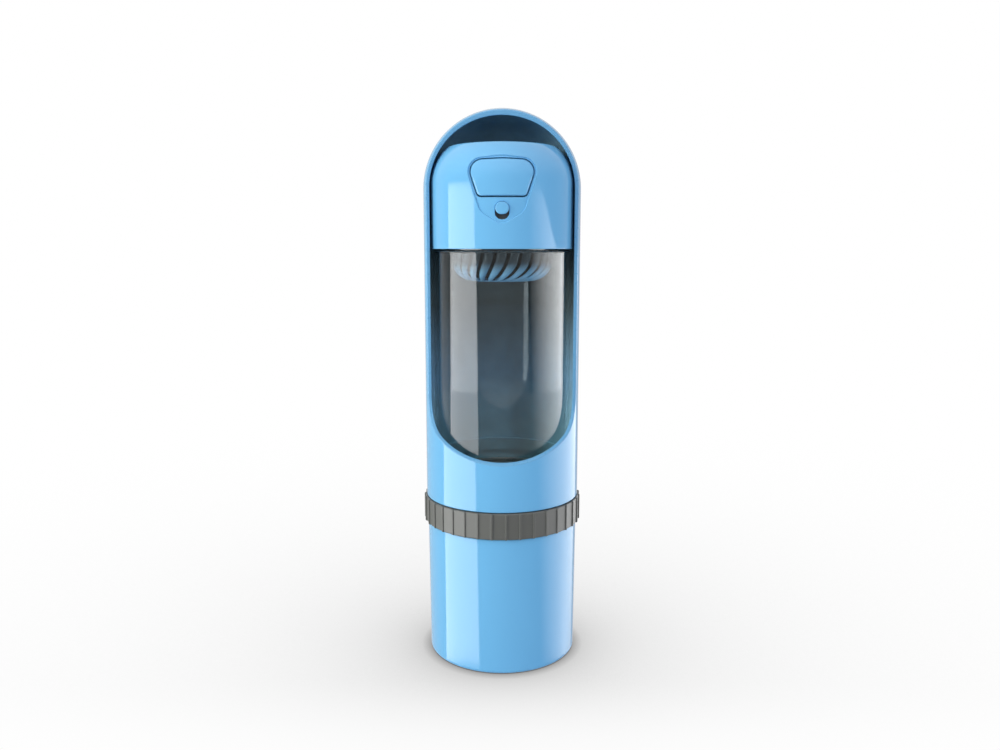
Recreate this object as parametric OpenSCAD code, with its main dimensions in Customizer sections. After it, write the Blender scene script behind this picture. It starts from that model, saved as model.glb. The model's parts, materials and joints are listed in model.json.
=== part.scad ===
// Travel bottle for a dog: food cup, twist ring, clear tank, head with a water button,
// and a hooded trough that slides up over the tank.
// Millimetres. Origin: centre of the base. +Z up, the window faces -Y.

/* [Bottle] */
// Outside diameter of the clear tank
bottle_d = 64.6; // [60:0.2:70]
// Wall of the clear tank
bottle_wall = 1.5; // [1.2:0.1:2]
// Height of the tank above the sleeve's lower edge
tank_h = 116.5; // [100:0.5:140]
// Width of the tank's shoulder, from its side in to the neck
shoulder_w = 6.1; // [5.6:0.1:6.6]
// Wall of the neck
neck_wall = 2; // [1.6:0.1:2]
// Height of the neck above the tank's shoulder
neck_h = 10.5; // [9:0.5:14]
// Height of the narrower foot that sits in the base collar
foot_h = 5.8; // [4:0.2:8]
// How far the foot is set in from the tank's side
foot_inset = 2.3; // [2:0.1:3]

/* [Trough] */
// Gap between the tank and the trough's inside
sleeve_gap = 2.6; // [2.4:0.1:4]
// Wall of the trough
shell_wall = 1.6; // [1.2:0.1:2]
// Height of the closed sleeve at the front, below the window
band_h = 22; // [20:0.5:30]
// Distance of the window's flat rim in front of the axis
rim_y = 12.1; // [8:0.1:18]
// Slope of the window's lower edge in degrees
window_slope = 33.4; // [25:0.2:40]
// Radius that blends the sloping edge into the upright rim
window_blend_r = 22; // [10:1:30]
// Height of the hood's centre above the head's lower edge
hood_rise = 27; // [26:0.5:40]
// Height of the stop collar
stop_h = 6; // [4:0.5:8]
// Height of the sleeve seal
seal_h = 4; // [3:0.5:5]

/* [Head] */
// How far the head stands out from the tank's side
head_proud = 1; // [0.8:0.1:1.4]
// Wall of the head
head_wall = 2.2; // [1.8:0.1:2.6]
// Height of the head's upright side
head_side_h = 29; // [28:0.5:34]
// Radius of the head's shoulder
shoulder_r = 22; // [20:0.5:24]
// Diameter where the shoulder meets the crown
crown_d = 49; // [46:0.5:52]
// Rise of the crown from its edge to its centre
crown_rise = 0.8; // [0:0.1:2]
// Depth of the shield-shaped recess around the button
recess_t = 0.4; // [0.3:0.1:0.6]

/* [Water button] */
// Half width of the button near its top
button_half_w = 13.6; // [12:0.2:14]
// Half width of the button near its bottom
button_low_half_w = 11; // [9:0.2:12]
// Height of the button
button_h = 15.8; // [14:0.2:16]
// Height of the button's lower edge above the head's lower edge
button_z = 22.6; // [22:0.1:24]
// Travel of the button
button_travel = 3; // [2:0.5:3]
// Wall of the button
button_wall = 1.5; // [1.2:0.1:2]

/* [Lock] */
// Width of the lock knob
knob_w = 5.9; // [5:0.1:6.5]
// Height of the lock knob
knob_h = 5.3; // [4.6:0.1:6]
// Travel of the lock knob
lock_travel = 2; // [1.5:0.1:2.5]
// Height of the slot's upper end above the head's lower edge
slot_top = 20.2; // [19.8:0.1:20.6]

/* [Cup and ring] */
// Height of the food cup below its neck
cup_h = 64.6; // [50:0.5:90]
// How far the cup's side is set in from the trough's side
cup_inset = 0.6; // [0.4:0.1:1]
// How much the cup's radius narrows towards the base
cup_draft = 0.6; // [0:0.1:1.5]
// Wall of the cup
cup_wall = 1.8; // [1.4:0.1:2]
// Floor of the cup
cup_floor = 2.4; // [2:0.1:3]
// Radius of the cup's lower edge
cup_edge_r = 1.5; // [1:0.1:2]
// Step from the cup's side in to its neck
neck_step = 2.3; // [2:0.1:2.6]
// Height of the grip ring
ring_h = 12.1; // [11:0.1:16]
// How far the ring's flats stand out from the trough's side
ring_proud = 0.6; // [0.4:0.1:1]
// Number of upright ribs round the ring
ring_ribs = 36; // [24:1:48]
// Width of one rib
rib_w = 0.9; // [0.7:0.1:1.2]
// How far a rib stands out from the flats
rib_proud = 0.5; // [0.3:0.1:0.8]

/* [Filter] */
// Gap between the swirl-ribbed cage and the inside of the tank's neck
cage_gap = 0.8; // [0.6:0.1:1.6]
// Depth of the cage below the tank's shoulder
cage_drop = 14.4; // [12:0.2:24]
// Number of swirl ribs
cage_ribs = 24; // [18:1:28]
// Share of the pitch that a rib takes
rib_share = 0.72; // [0.55:0.01:0.8]
// Angle through which a rib swirls towards the bottom
cage_swirl = 24; // [0:1:40]
// Wall of the cage
cage_wall = 1.6; // [1.4:0.1:1.8]

/* [Clearances] */
// Gap between faces that slide past each other
slip = 0.3; // [0.25:0.05:0.35]
// Gap between round faces that are fixed together
fit = 0.1; // [0.05:0.01:0.12]
// Seam between the head and the tank
seam = 0.4; // [0.3:0.1:0.6]

/* [Hidden] */
$fn = 96;
over = 1;

blue = [0.44, 0.70, 0.91];
clear = [0.62, 0.66, 0.70, 0.45];
grey = [0.36, 0.36, 0.36];
rubber = [0.16, 0.17, 0.18];
white = [0.90, 0.91, 0.90];
steel = [0.72, 0.72, 0.74];

// Radii, from the tank outwards
bottle_r = bottle_d / 2;
head_r = bottle_r + head_proud;
shell_in_r = bottle_r + sleeve_gap;
shell_r = shell_in_r + shell_wall;
cup_r = shell_r - cup_inset;
cup_neck_r = cup_r - neck_step;
cup_neck_wall = 1.9;
cup_neck_in_r = cup_neck_r - cup_neck_wall;
ring_r = shell_r + ring_proud;
foot_r = bottle_r - foot_inset;
neck_r = bottle_r - shoulder_w;
neck_in_r = neck_r - neck_wall;
cage_r = neck_in_r - cage_gap;
crown_r = crown_d / 2;

// Twist joint between the cup's neck, the ring and the base collar
thread_gap = 0.4;
lip_h = 1.6;
flange_h = 1.4;
collar_proud = 0.7;
collar_r = bottle_r + collar_proud;
groove_wall = 2;
groove_r = ring_r - groove_wall;
flange_r = groove_r - slip;
rim_gap = 0.5;
rim_drop = 1.4;
collar_floor = 2;
ring_z0 = cup_h + slip;
ring_z1 = ring_z0 + ring_h;
groove_z1 = ring_z1 - lip_h;
groove_z0 = groove_z1 - flange_h - 2 * slip;
cup_neck_z1 = groove_z0 - rim_drop;
collar_z0 = cup_neck_z1 + rim_gap;
bottle_z0 = collar_z0 + collar_floor;

// Gaskets: how far each stays in from the edges of the rim that it seals
gasket_in = 0.2;
gasket_out = 0.6;
gasket_r0 = cup_neck_in_r + gasket_in;
gasket_r1 = cup_neck_r - gasket_out;
gasket_z0 = collar_z0 - slip;
gasket_h = 1.1;
gasket_z1 = gasket_z0 + gasket_h;

// Levels of the trough, the tank and the head
shell_z0 = ring_z1 + slip;
collar_z1 = bottle_z0 + foot_h;
bottle_z1 = shell_z0 + tank_h;
neck_z1 = bottle_z1 + neck_h;
head_z0 = bottle_z1 + seam;
hood_z = head_z0 + hood_rise;
window_z = shell_z0 + band_h;
seal_rise = 1.5;
seal_z0 = collar_z1 + seal_rise;
stop_drop = 2.8;
stop_z1 = window_z - stop_drop;

// Head: the shoulder arc runs from the upright side to the crown's edge
shoulder_x = head_r - shoulder_r;
shoulder_z = head_z0 + head_side_h;
shoulder_a = acos((crown_r - shoulder_x) / shoulder_r);
crown_z = shoulder_z + shoulder_r * sin(shoulder_a);
head_in_r = head_r - head_wall;
rebate_t = 0.4;
rebate_h = 2.4;

// Insert: a skirt round the neck, with a floor above it
skirt_t = 2;
skirt_r0 = neck_r + thread_gap;
skirt_r1 = skirt_r0 + skirt_t;
neck_gasket_h = 1.6;
floor_z0 = neck_z1 + neck_gasket_h;
floor_t = 2.5;
floor_z1 = floor_z0 + floor_t;
port_r = 3;
vent_y = -14;
vent_r = 1.2;
vent_cap_r = 2.8;
vent_cap_t = 0.9;

// Valve, from its seat up to the wedge that lifts it
chamber_r = 8;
chamber_in_r = 6;
chamber_h = 13;
chamber_floor = 1.6;
valve_z0 = floor_z1;
chamber_z1 = valve_z0 + chamber_h;
valve_cap_t = 1.5;
valve_cap_z1 = chamber_z1 + valve_cap_t;
seat_h = 2.5;
seat_w = 1;
seat_z = valve_z0 + seat_h;
stem_r = 1.6;
disc_z0 = seat_z + fit;
disc_r = 5.2;
disc_t = 1.8;
stem_flange_r = 3;
stem_flange_t = 0.8;
stem_flange_z1 = disc_z0 + disc_t + stem_flange_t;
stem_oring_r = 0.45;

// Screws: what each holds in the floor, and its head
screw_x = 10.5;
screw_r = 0.95;
screw_grip = 2;
screw_head_r = 1.9;
screw_head_h = 1.3;
screw_socket_r = 0.6;
lug_r = 3;

// Spout: out of the chamber's side and up through the crown
spout_y = 14;
spout_r = 3.2;
spout_bore_r = 2.2;
spout_flare = 1.1;
port_rise = 8.5;
port_z = valve_z0 + port_rise;
stub_y = 10.5;
spout_rise = 2.4;
spout_top = crown_z + spout_rise;

// Wedge: the fork's top and the stem head's underside slope at 45 degrees
follower_half_x = 5;
follower_half_y = 3.2;
follower_gap = 0.7;
follower_cap = 2.4;
follower_z = valve_cap_z1 + follower_gap + follower_half_y;
follower_z1 = follower_z + follower_half_y + follower_cap;
fork_gap = 0.5;
fork_z0 = valve_cap_z1 + fork_gap;
fork_h = 6;
fork_z1 = fork_z0 + fork_h;
prong_x0 = stem_r + 0.6;
prong_x1 = prong_x0 + 2.4;
wedge_gap = 1.4 * slip;

// Button: a rounded block whose face follows the head, held by a flange inside
button_gap = 0.35;
button_low_gap = 0.2;
face_proud = 0.15;
button_top_r = 5.2;
button_low_r = 2.1;
button_z0 = head_z0 + button_z;
button_z1 = button_z0 + button_h;
flange_t = 1.4;
flange_in = 6.7;
flange_y1 = -(head_in_r - flange_in);
flange_y0 = flange_y1 - flange_t;
flange_over = 1.2;
flange_drop = 2.4;
boss_half_x = 4.6;
fork_wing = 2;
fork_plate_t = 1.6;

// Lock: a knob in a slot, on a plate that rides behind the wall
slot_gap = 0.15;
slot_z1 = head_z0 + slot_top;
knob_z1 = slot_z1 - slot_gap;
knob_z0 = knob_z1 - knob_h;
slot_z0 = knob_z0 - lock_travel - slot_gap;
knob_proud = 1;
knob_corner_r = 2.2;
plate_r1 = head_in_r - slip;
plate_t = 1.3;
plate_r0 = plate_r1 - plate_t;
plate_a = 9;
plate_over = 1.6;

// Cage: side, rounded corner and flat bottom
cage_z0 = bottle_z1 - cage_drop;
cage_flat_r = 13.5;
cage_corner_h = 8.8;
cage_floor_t = 1.6;
cage_band_drop = 0.5;
cage_band_z0 = bottle_z1 - cage_band_drop;
cage_boss_t = 1.2;
cage_boss_h = 3.5;
boss_r1 = cage_r - cage_wall - fit;
boss_r0 = boss_r1 - cage_boss_t;
carbon_in = 4.4;
carbon_r = cage_r - carbon_in;
sponge_h = 3;

// Points along an arc of a circle about [x, y]
function arc(x, y, r, a0, a1, n) =
    [for (i = [0:n]) let (a = a0 + (a1 - a0) * i / n) [x + r * cos(a), y + r * sin(a)]];

// A tube between two radii and two heights
module tube(r1, r0, z0, z1) {
    translate([0, 0, z0])
        difference() {
            cylinder(r = r1, h = z1 - z0);
            translate([0, 0, -over]) cylinder(r = r0, h = z1 - z0 + 2 * over);
        }
}

// A solid disc between two heights
module disc(r, z0, z1) {
    translate([0, 0, z0]) cylinder(r = r, h = z1 - z0);
}

// A bar along X, Y and Z given by its corners
module bar(p0, p1) {
    translate(p0) cube([p1[0] - p0[0], p1[1] - p0[1], p1[2] - p0[2]]);
}

// An outline drawn in X and Z, pushed along Y from y0 to y1
module upright(y0, y1) {
    translate([0, y1, 0]) rotate([90, 0, 0]) linear_extrude(y1 - y0) children();
}

module food_cup() {
    foot_recess = 0.8;
    foot_w = 6;
    inner_edge_r = 3;
    shoulder_t = 2.2;
    base_r = cup_r - cup_draft;
    foot_in_r = base_r - foot_w;
    in_r = cup_r - cup_wall;
    color(blue)
        rotate_extrude()
            polygon(concat(
                [[0, foot_recess], [foot_in_r - foot_recess, foot_recess], [foot_in_r, 0]],
                arc(base_r - cup_edge_r, cup_edge_r, cup_edge_r, -90, 0, 5),
                [[cup_r, cup_h], [cup_neck_r, cup_h], [cup_neck_r, cup_neck_z1],
                 [cup_neck_in_r, cup_neck_z1], [cup_neck_in_r, cup_h - shoulder_t],
                 [in_r - fit, cup_h - shoulder_t - (in_r - cup_neck_in_r)]],
                arc(base_r - cup_wall - inner_edge_r, cup_floor + inner_edge_r, inner_edge_r, 0, -90, 5),
                [[0, cup_floor]]
            ));
}

module cup_gasket() {
    color(rubber) tube(gasket_r1, gasket_r0, gasket_z0, gasket_z1);
}

module base_collar() {
    color(grey)
        difference() {
            union() {
                disc(cup_neck_r, collar_z0, bottle_z0);
                disc(flange_r, groove_z0 + slip, groove_z0 + slip + flange_h);
                disc(collar_r, collar_z0 + over, collar_z1);
            }
            disc(foot_r + fit, bottle_z0, collar_z1 + over);
            tube(gasket_r1 + fit, gasket_r0 - fit, collar_z0 - over, gasket_z1);
        }
}

module bottle() {
    r = bottle_r;
    in_r = bottle_r - bottle_wall;
    foot_in_r = foot_r - bottle_wall;
    edge_r = 0.8;
    step_z = 0.4;
    step_h = 2;
    color(clear)
        rotate_extrude()
            polygon(concat(
                [[0, bottle_z0], [foot_r, bottle_z0], [foot_r, collar_z1], [r, collar_z1]],
                arc(r - edge_r, bottle_z1 - edge_r, edge_r, 0, 90, 4),
                [[neck_r, bottle_z1], [neck_r, neck_z1], [neck_in_r, neck_z1],
                 [neck_in_r, bottle_z1 - bottle_wall], [in_r, bottle_z1 - bottle_wall],
                 [in_r, collar_z1 + step_z + step_h], [foot_in_r, collar_z1 + step_z],
                 [foot_in_r, bottle_z0 + bottle_wall], [0, bottle_z0 + bottle_wall]]
            ));
}

module neck_gasket() {
    color(rubber) tube(neck_r, neck_in_r + gasket_in, neck_z1, floor_z0);
}

module head_insert() {
    color(white)
        difference() {
            union() {
                tube(head_in_r + rebate_t - fit, skirt_r0, head_z0 + slip, head_z0 + rebate_h);
                tube(skirt_r1, skirt_r0, head_z0 + slip, floor_z0);
                disc(skirt_r1, floor_z0, floor_z1);
                tube(boss_r1, boss_r0, floor_z0 - cage_boss_h, floor_z0);
            }
            disc(port_r, floor_z0 - over, floor_z1 + over);
            translate([0, vent_y, 0]) disc(vent_r, floor_z0 - over, floor_z1 + over);
            for (x = [-screw_x, screw_x])
                translate([x, 0, 0]) disc(screw_r, floor_z1 - screw_grip, floor_z1 + over);
        }
}

// The head's profile, set in from its outside by t, as a solid of revolution
module head_body(t, z0) {
    rotate_extrude()
        polygon(concat(
            [[0, z0], [head_r - t, z0]],
            arc(shoulder_x, shoulder_z, shoulder_r - t, 0, shoulder_a, 12),
            [for (k = [2:-1:0]) [crown_r * k / 3, crown_z + crown_rise * (1 - k * k / 9) - t]]
        ));
}

// Outline of the button in X and Z, grown by g, with its lower edge down by a further low
module button_outline(g, low) {
    top_bow = 0.3;
    top_x = button_half_w - button_top_r;
    top_z = button_z1 - button_top_r;
    low_x = button_low_half_w - button_low_r;
    low_z = button_z0 + button_low_r;
    hull() {
        for (s = [-1, 1]) {
            translate([s * top_x, top_z - top_bow]) circle(r = button_top_r + g, $fn = 48);
            translate([s * low_x, low_z]) circle(r = button_low_r + g, $fn = 32);
            translate([s * low_x, low_z - low]) circle(r = button_low_r + g, $fn = 32);
        }
        translate([0, top_z]) circle(r = button_top_r + g, $fn = 48);
    }
}

// Outline of the shield-shaped recess in X and Z
module shield_outline() {
    top_r = 6;
    side_over = 1.1;
    side_rise = 0.6;
    top_rise = 1.4;
    mid_r = 5.5;
    mid_x = 4.4;
    mid_drop = 0.6;
    tip_r = 4.5;
    tip_drop = 1.4;
    hull() {
        for (s = [-1, 1]) {
            translate([s * (button_half_w + side_over - top_r), button_z1 + side_rise - top_r])
                circle(r = top_r, $fn = 48);
            translate([s * mid_x, button_z0 - mid_drop]) circle(r = mid_r, $fn = 32);
        }
        translate([0, button_z1 + top_rise - top_r]) circle(r = top_r, $fn = 48);
        translate([0, slot_z0 - tip_drop + tip_r]) circle(r = tip_r, $fn = 32);
    }
}

// A rectangle in X and Z with rounded corners
module rounded(w, z0, z1, r) {
    hull()
        for (x = [-w / 2 + r, w / 2 - r], z = [z0 + r, z1 - r])
            translate([x, z]) circle(r = r, $fn = 32);
}

module head_shell() {
    color(blue)
        difference() {
            head_body(0, head_z0);
            head_body(head_wall, head_z0 - over);
            disc(head_in_r + rebate_t, head_z0 - over, head_z0 + rebate_h);
            difference() {
                upright(-head_r - over, -head_r / 2) shield_outline();
                head_body(recess_t, head_z0 - 2 * over);
            }
            upright(-head_r - over, -head_r / 3) button_outline(button_gap, button_low_gap);
            upright(-head_r - over, -head_r / 2)
                rounded(knob_w + 2 * slot_gap, slot_z0, slot_z1, knob_corner_r + slot_gap);
            translate([0, spout_y, 0])
                disc(spout_r + fit, crown_z - 2 * head_wall, crown_z + 2 * crown_rise + over);
        }
}

// Point on the cage's outside: s from 0 at the band to 1 at the flat bottom.
// Gives the radius, the height and the outward normal in the radial plane.
function cage_point(s) =
    let (side = cage_band_z0 - (cage_z0 + cage_corner_h), round_len = cage_corner_h * 1.6)
    let (run = s * (side + round_len))
    run <= side
        ? [cage_r, cage_band_z0 - run, 1, 0]
        : let (a = 90 * (run - side) / round_len, corner_w = cage_r - cage_flat_r)
          [cage_flat_r + corner_w * cos(a), cage_z0 + cage_corner_h * (1 - sin(a)), cos(a), -sin(a)];

// One swirl rib: a six-cornered section carried down the cage's profile
module cage_rib() {
    steps = 11;
    rib_root = 1.2;
    rib_foot = 1.04;
    face_in = 0.1;
    side_in = 0.7;
    back_in = cage_wall - 2 * face_in;
    half = 180 / cage_ribs * rib_share;
    section = [[-1, back_in], [-1, side_in], [-0.6, face_in], [0.6, face_in], [1, side_in], [1, back_in]];
    k = len(section);
    rings = [for (i = [0:steps])
        let (s = -0.06 + 1.1 * i / steps, q = cage_point(max(s, 0)))
        let (lift = i == 0 ? rib_root : 0, inward = i == steps ? rib_foot : 0)
        let (swirl = cage_swirl * pow(max(s, 0), 1.7))
        for (p = section)
            let (r = q[0] - q[2] * p[1] - inward, a = -swirl + half * p[0])
            [r * cos(a), r * sin(a), q[1] - q[3] * p[1] + lift]];
    sides = [for (i = [0:steps - 1], j = [0:k - 1])
        let (m = (j + 1) % k)
        each [[i * k + j, i * k + m, (i + 1) * k + m], [i * k + j, (i + 1) * k + m, (i + 1) * k + j]]];
    caps = [[for (j = [k - 1:-1:0]) j], [for (j = [0:k - 1]) steps * k + j]];
    polyhedron(rings, concat(sides, caps));
}

module filter_cage() {
    color(blue)
        union() {
            tube(cage_r, cage_r - cage_wall, cage_band_z0, floor_z0);
            disc(cage_flat_r + 0.8, cage_z0, cage_z0 + cage_floor_t);
            for (i = [0:cage_ribs - 1]) rotate(i * 360 / cage_ribs) cage_rib();
        }
}

module carbon_filter() {
    foot_in = 1.2;
    corner_h = 5.4;
    z0 = cage_z0 + cage_floor_t;
    z1 = floor_z0 - sponge_h;
    color(rubber)
        rotate_extrude()
            polygon([[0, z0], [cage_flat_r - foot_in, z0], [carbon_r, z0 + corner_h], [carbon_r, z1], [0, z1]]);
}

module filter_sponge() {
    color(white) disc(boss_r0 - fit, floor_z0 - sponge_h, floor_z0);
}

module air_vent_valve() {
    color(rubber)
        translate([0, vent_y, 0]) {
            disc(vent_r - fit / 2, floor_z0, floor_z1);
            disc(vent_cap_r, floor_z1, floor_z1 + vent_cap_t);
        }
}

module valve_body() {
    color(white)
        difference() {
            union() {
                disc(chamber_r, valve_z0, chamber_z1);
                for (x = [-screw_x, screw_x]) translate([x, 0, 0]) disc(lug_r, valve_z0, chamber_z1);
                translate([0, stub_y, port_z]) rotate([90, 0, 0]) cylinder(r = spout_r, h = stub_y);
            }
            disc(chamber_in_r, valve_z0 + chamber_floor, chamber_z1 + over);
            disc(port_r, valve_z0 - over, valve_z0 + chamber_floor + over);
            for (x = [-screw_x, screw_x])
                translate([x, 0, 0]) disc(screw_r + fit, valve_z0 - over, chamber_z1 + over);
            translate([0, stub_y + over, port_z]) rotate([90, 0, 0])
                cylinder(r = spout_bore_r, h = stub_y + over);
        }
    color(white) tube(port_r + seat_w, port_r, valve_z0 + chamber_floor, seat_z);
}

module valve_cap() {
    color(white)
        difference() {
            union() {
                disc(chamber_r, chamber_z1, valve_cap_z1);
                for (x = [-screw_x, screw_x]) translate([x, 0, 0]) disc(lug_r, chamber_z1, valve_cap_z1);
            }
            disc(stem_r + fit, chamber_z1 - over, valve_cap_z1 + over);
            disc(stem_r + 3 * stem_oring_r + fit / 2, chamber_z1 - over, chamber_z1 + 2 * stem_oring_r);
            for (x = [-screw_x, screw_x])
                translate([x, 0, 0]) disc(screw_r + fit, chamber_z1 - over, valve_cap_z1 + over);
        }
}

module stem_oring() {
    color(rubber)
        translate([0, 0, chamber_z1 + stem_oring_r])
            rotate_extrude() translate([stem_r + fit + stem_oring_r, 0]) circle(r = stem_oring_r, $fn = 24);
}

module cap_screws() {
    color(steel)
        for (x = [-screw_x, screw_x])
            translate([x, 0, 0]) {
                disc(screw_r - fit / 5, floor_z1 - screw_grip + fit, valve_cap_z1);
                difference() {
                    disc(screw_head_r, valve_cap_z1, valve_cap_z1 + screw_head_h);
                    disc(screw_socket_r, valve_cap_z1 + screw_head_h / 2, valve_cap_z1 + screw_head_h + over);
                }
            }
}

module outlet_spout() {
    color(rubber)
        difference() {
            union() {
                translate([0, spout_y, 0]) disc(spout_r, port_z - spout_r, spout_top);
                translate([0, spout_y, port_z]) rotate([90, 0, 0])
                    cylinder(r = spout_r - slip, h = spout_y - stub_y);
                translate([0, spout_y, 0])
                    disc(spout_r + spout_flare, crown_z + crown_rise, spout_top - spout_flare / 2);
            }
            translate([0, spout_y, 0]) disc(spout_bore_r, port_z - spout_bore_r, spout_top + over);
            translate([0, spout_y, port_z]) rotate([90, 0, 0])
                cylinder(r = spout_bore_r - 2 * fit, h = spout_y);
        }
}

module valve_stem() {
    reach = 4 * follower_half_y;
    color(white)
        union() {
            disc(stem_r, disc_z0, follower_z1 - over);
            disc(stem_flange_r, disc_z0 + disc_t, stem_flange_z1);
            difference() {
                bar([-follower_half_x, -follower_half_y, follower_z - follower_half_y],
                    [follower_half_x, follower_half_y, follower_z1]);
                translate([-follower_half_x - over, 0, follower_z]) rotate([-45, 0, 0])
                    translate([0, -reach, -reach]) cube([2 * follower_half_x + 2 * over, 2 * reach, reach]);
            }
        }
}

module valve_disc() {
    color(rubber) tube(disc_r, stem_r, disc_z0, disc_z0 + disc_t);
}

// Round wire carried along a helix, as rings of eight points
module valve_spring() {
    wire_r = 0.32;
    coil_r = 4.2;
    turns = 5;
    per_turn = 14;
    k = 8;
    z0 = stem_flange_z1 + wire_r;
    z1 = chamber_z1 - wire_r;
    n = turns * per_turn;
    rings = [for (i = [0:n], j = [0:k - 1])
        let (a = 360 * i / per_turn, b = 360 * j / k, r = coil_r + wire_r * cos(b))
        [r * cos(a), r * sin(a), z0 + (z1 - z0) * i / n + wire_r * sin(b)]];
    sides = [for (i = [0:n - 1], j = [0:k - 1])
        let (m = (j + 1) % k)
        each [[i * k + j, (i + 1) * k + m, i * k + m], [i * k + j, (i + 1) * k + j, (i + 1) * k + m]]];
    caps = [[for (j = [0:k - 1]) j], [for (j = [k - 1:-1:0]) n * k + j]];
    color(steel) polyhedron(rings, concat(sides, caps));
}

module water_button() {
    color(blue)
        difference() {
            union() {
                intersection() {
                    upright(-head_r - over, flange_y1) button_outline(0, 0);
                    head_body(recess_t - face_proud, button_z0 - 3 * over);
                }
                intersection() {
                    upright(flange_y0, flange_y1) button_outline(flange_over, 0);
                    bar([-head_r, -head_r, 0], [head_r, head_r, button_z1 - flange_drop]);
                }
            }
            difference() {
                intersection() {
                    upright(-head_r - over, flange_y1 + over) button_outline(-button_wall, 0);
                    head_body(recess_t - face_proud + button_wall, button_z0 - 3 * over);
                }
                bar([-boss_half_x, -head_r, fork_z0], [boss_half_x, flange_y1, fork_z1]);
            }
        }
}

module push_fork() {
    tip_y = follower_z - wedge_gap - fork_z0;
    flat_y = follower_z - wedge_gap - fork_z1;
    color(white)
        union() {
            bar([-boss_half_x - fork_wing, flange_y1, fork_z0],
                [boss_half_x + fork_wing, flange_y1 + fork_plate_t, fork_z1]);
            for (x = [-prong_x1, prong_x0])
                translate([x, 0, 0]) rotate([90, 0, 90]) linear_extrude(prong_x1 - prong_x0)
                    polygon([[flange_y1 + fork_plate_t - 0.5, fork_z0], [tip_y, fork_z0], [flat_y, fork_z1],
                             [flange_y1 + fork_plate_t - 0.5, fork_z1]]);
        }
}

module lock_slider() {
    face_r = head_r - recess_t + knob_proud;
    neck_w = knob_w - 1;
    neck_over = 0.7;
    color(blue)
        union() {
            intersection() {
                upright(-face_r - over, -head_r / 2) rounded(knob_w, knob_z0, knob_z1, knob_corner_r);
                tube(face_r, head_in_r + 0.6, knob_z0 - over, knob_z1 + over);
            }
            intersection() {
                upright(-face_r, -head_r / 2) rounded(neck_w, knob_z0 + neck_over, knob_z1 - neck_over, 1.5);
                tube(head_in_r + over, plate_r1, knob_z0 - over, knob_z1 + over);
            }
        }
}

module lock_plate() {
    z0 = knob_z0 - plate_over;
    z1 = knob_z1 + plate_over;
    color(white)
        translate([0, 0, z0]) rotate(-90 - plate_a)
            rotate_extrude(angle = 2 * plate_a) translate([plate_r0, 0]) square([plate_t, z1 - z0]);
}

module grip_ring() {
    pitch = 360 / ring_ribs;
    corner_r = ring_r / cos(pitch / 2);
    lip_r = collar_r + thread_gap;
    rib_root = 0.6;
    color(grey)
        difference() {
            union() {
                translate([0, 0, ring_z0]) linear_extrude(ring_h)
                    polygon([for (i = [0:ring_ribs - 1]) corner_r * [cos(i * pitch), sin(i * pitch)]]);
                for (i = [0:ring_ribs - 1])
                    rotate(i * pitch)
                        bar([ring_r - rib_root, -rib_w / 2, ring_z0], [corner_r + rib_proud, rib_w / 2, ring_z1]);
            }
            disc(cup_neck_r + thread_gap, ring_z0 - over, groove_z0 + over);
            disc(groove_r, groove_z0, groove_z1);
            disc(lip_r, groove_z1 - over, ring_z1 + over);
        }
}

// Half of the trough's outside or inside, as radius and height: a wall that ends in a quarter round
module hooded(r, z0) {
    translate([0, z0]) square([r, hood_z - z0]);
    translate([0, hood_z])
        intersection() {
            circle(r = r);
            square([r, r]);
        }
}

// What is cut away in front of the rim: upright above, sloping below, blended by an arc
module window_cut() {
    far = 1.25 * shell_r;
    top = hood_z + far;
    slope_z = window_z + (shell_r - rim_y) * tan(window_slope);
    arc_z = slope_z + window_blend_r * tan((90 - window_slope) / 2);
    far_z = window_z - (far - shell_r) * tan(window_slope);
    rotate([90, 0, 90]) linear_extrude(2 * far, center = true)
        polygon(concat(
            [[-far, far_z]],
            arc(-rim_y - window_blend_r, arc_z, window_blend_r, window_slope - 90, 0, 20),
            [[-rim_y, top], [-far, top]]
        ));
}

module trough_shell() {
    color(blue)
        difference() {
            rotate_extrude()
                difference() {
                    hooded(shell_r, shell_z0);
                    hooded(shell_in_r, shell_z0 - over);
                }
            window_cut();
        }
}

module stop_collar() {
    color(blue) tube(shell_in_r - fit / 2, bottle_r + 1.5 * slip, stop_z1 - stop_h, stop_z1);
}

module sleeve_seal() {
    r1 = shell_in_r - fit / 2;
    r0 = bottle_r + slip;
    lip = 0.9;
    color(rubber)
        translate([0, 0, seal_z0])
            rotate_extrude()
                polygon([[r0 + lip, 0], [r1, 0], [r1, seal_h], [r0, seal_h], [r0, seal_h - 0.8],
                         [r0 + lip, seal_h - 1.4], [r0 + lip, 1.4], [r0, 0.8], [r0, 0]]);
}

food_cup();
cup_gasket();
base_collar();
bottle();
neck_gasket();
head_insert();
head_shell();
filter_cage();
carbon_filter();
filter_sponge();
air_vent_valve();
valve_body();
valve_cap();
stem_oring();
cap_screws();
outlet_spout();
valve_stem();
valve_disc();
valve_spring();
water_button();
push_fork();
lock_slider();
lock_plate();
grip_ring();
trough_shell();
stop_collar();
sleeve_seal();
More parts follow.
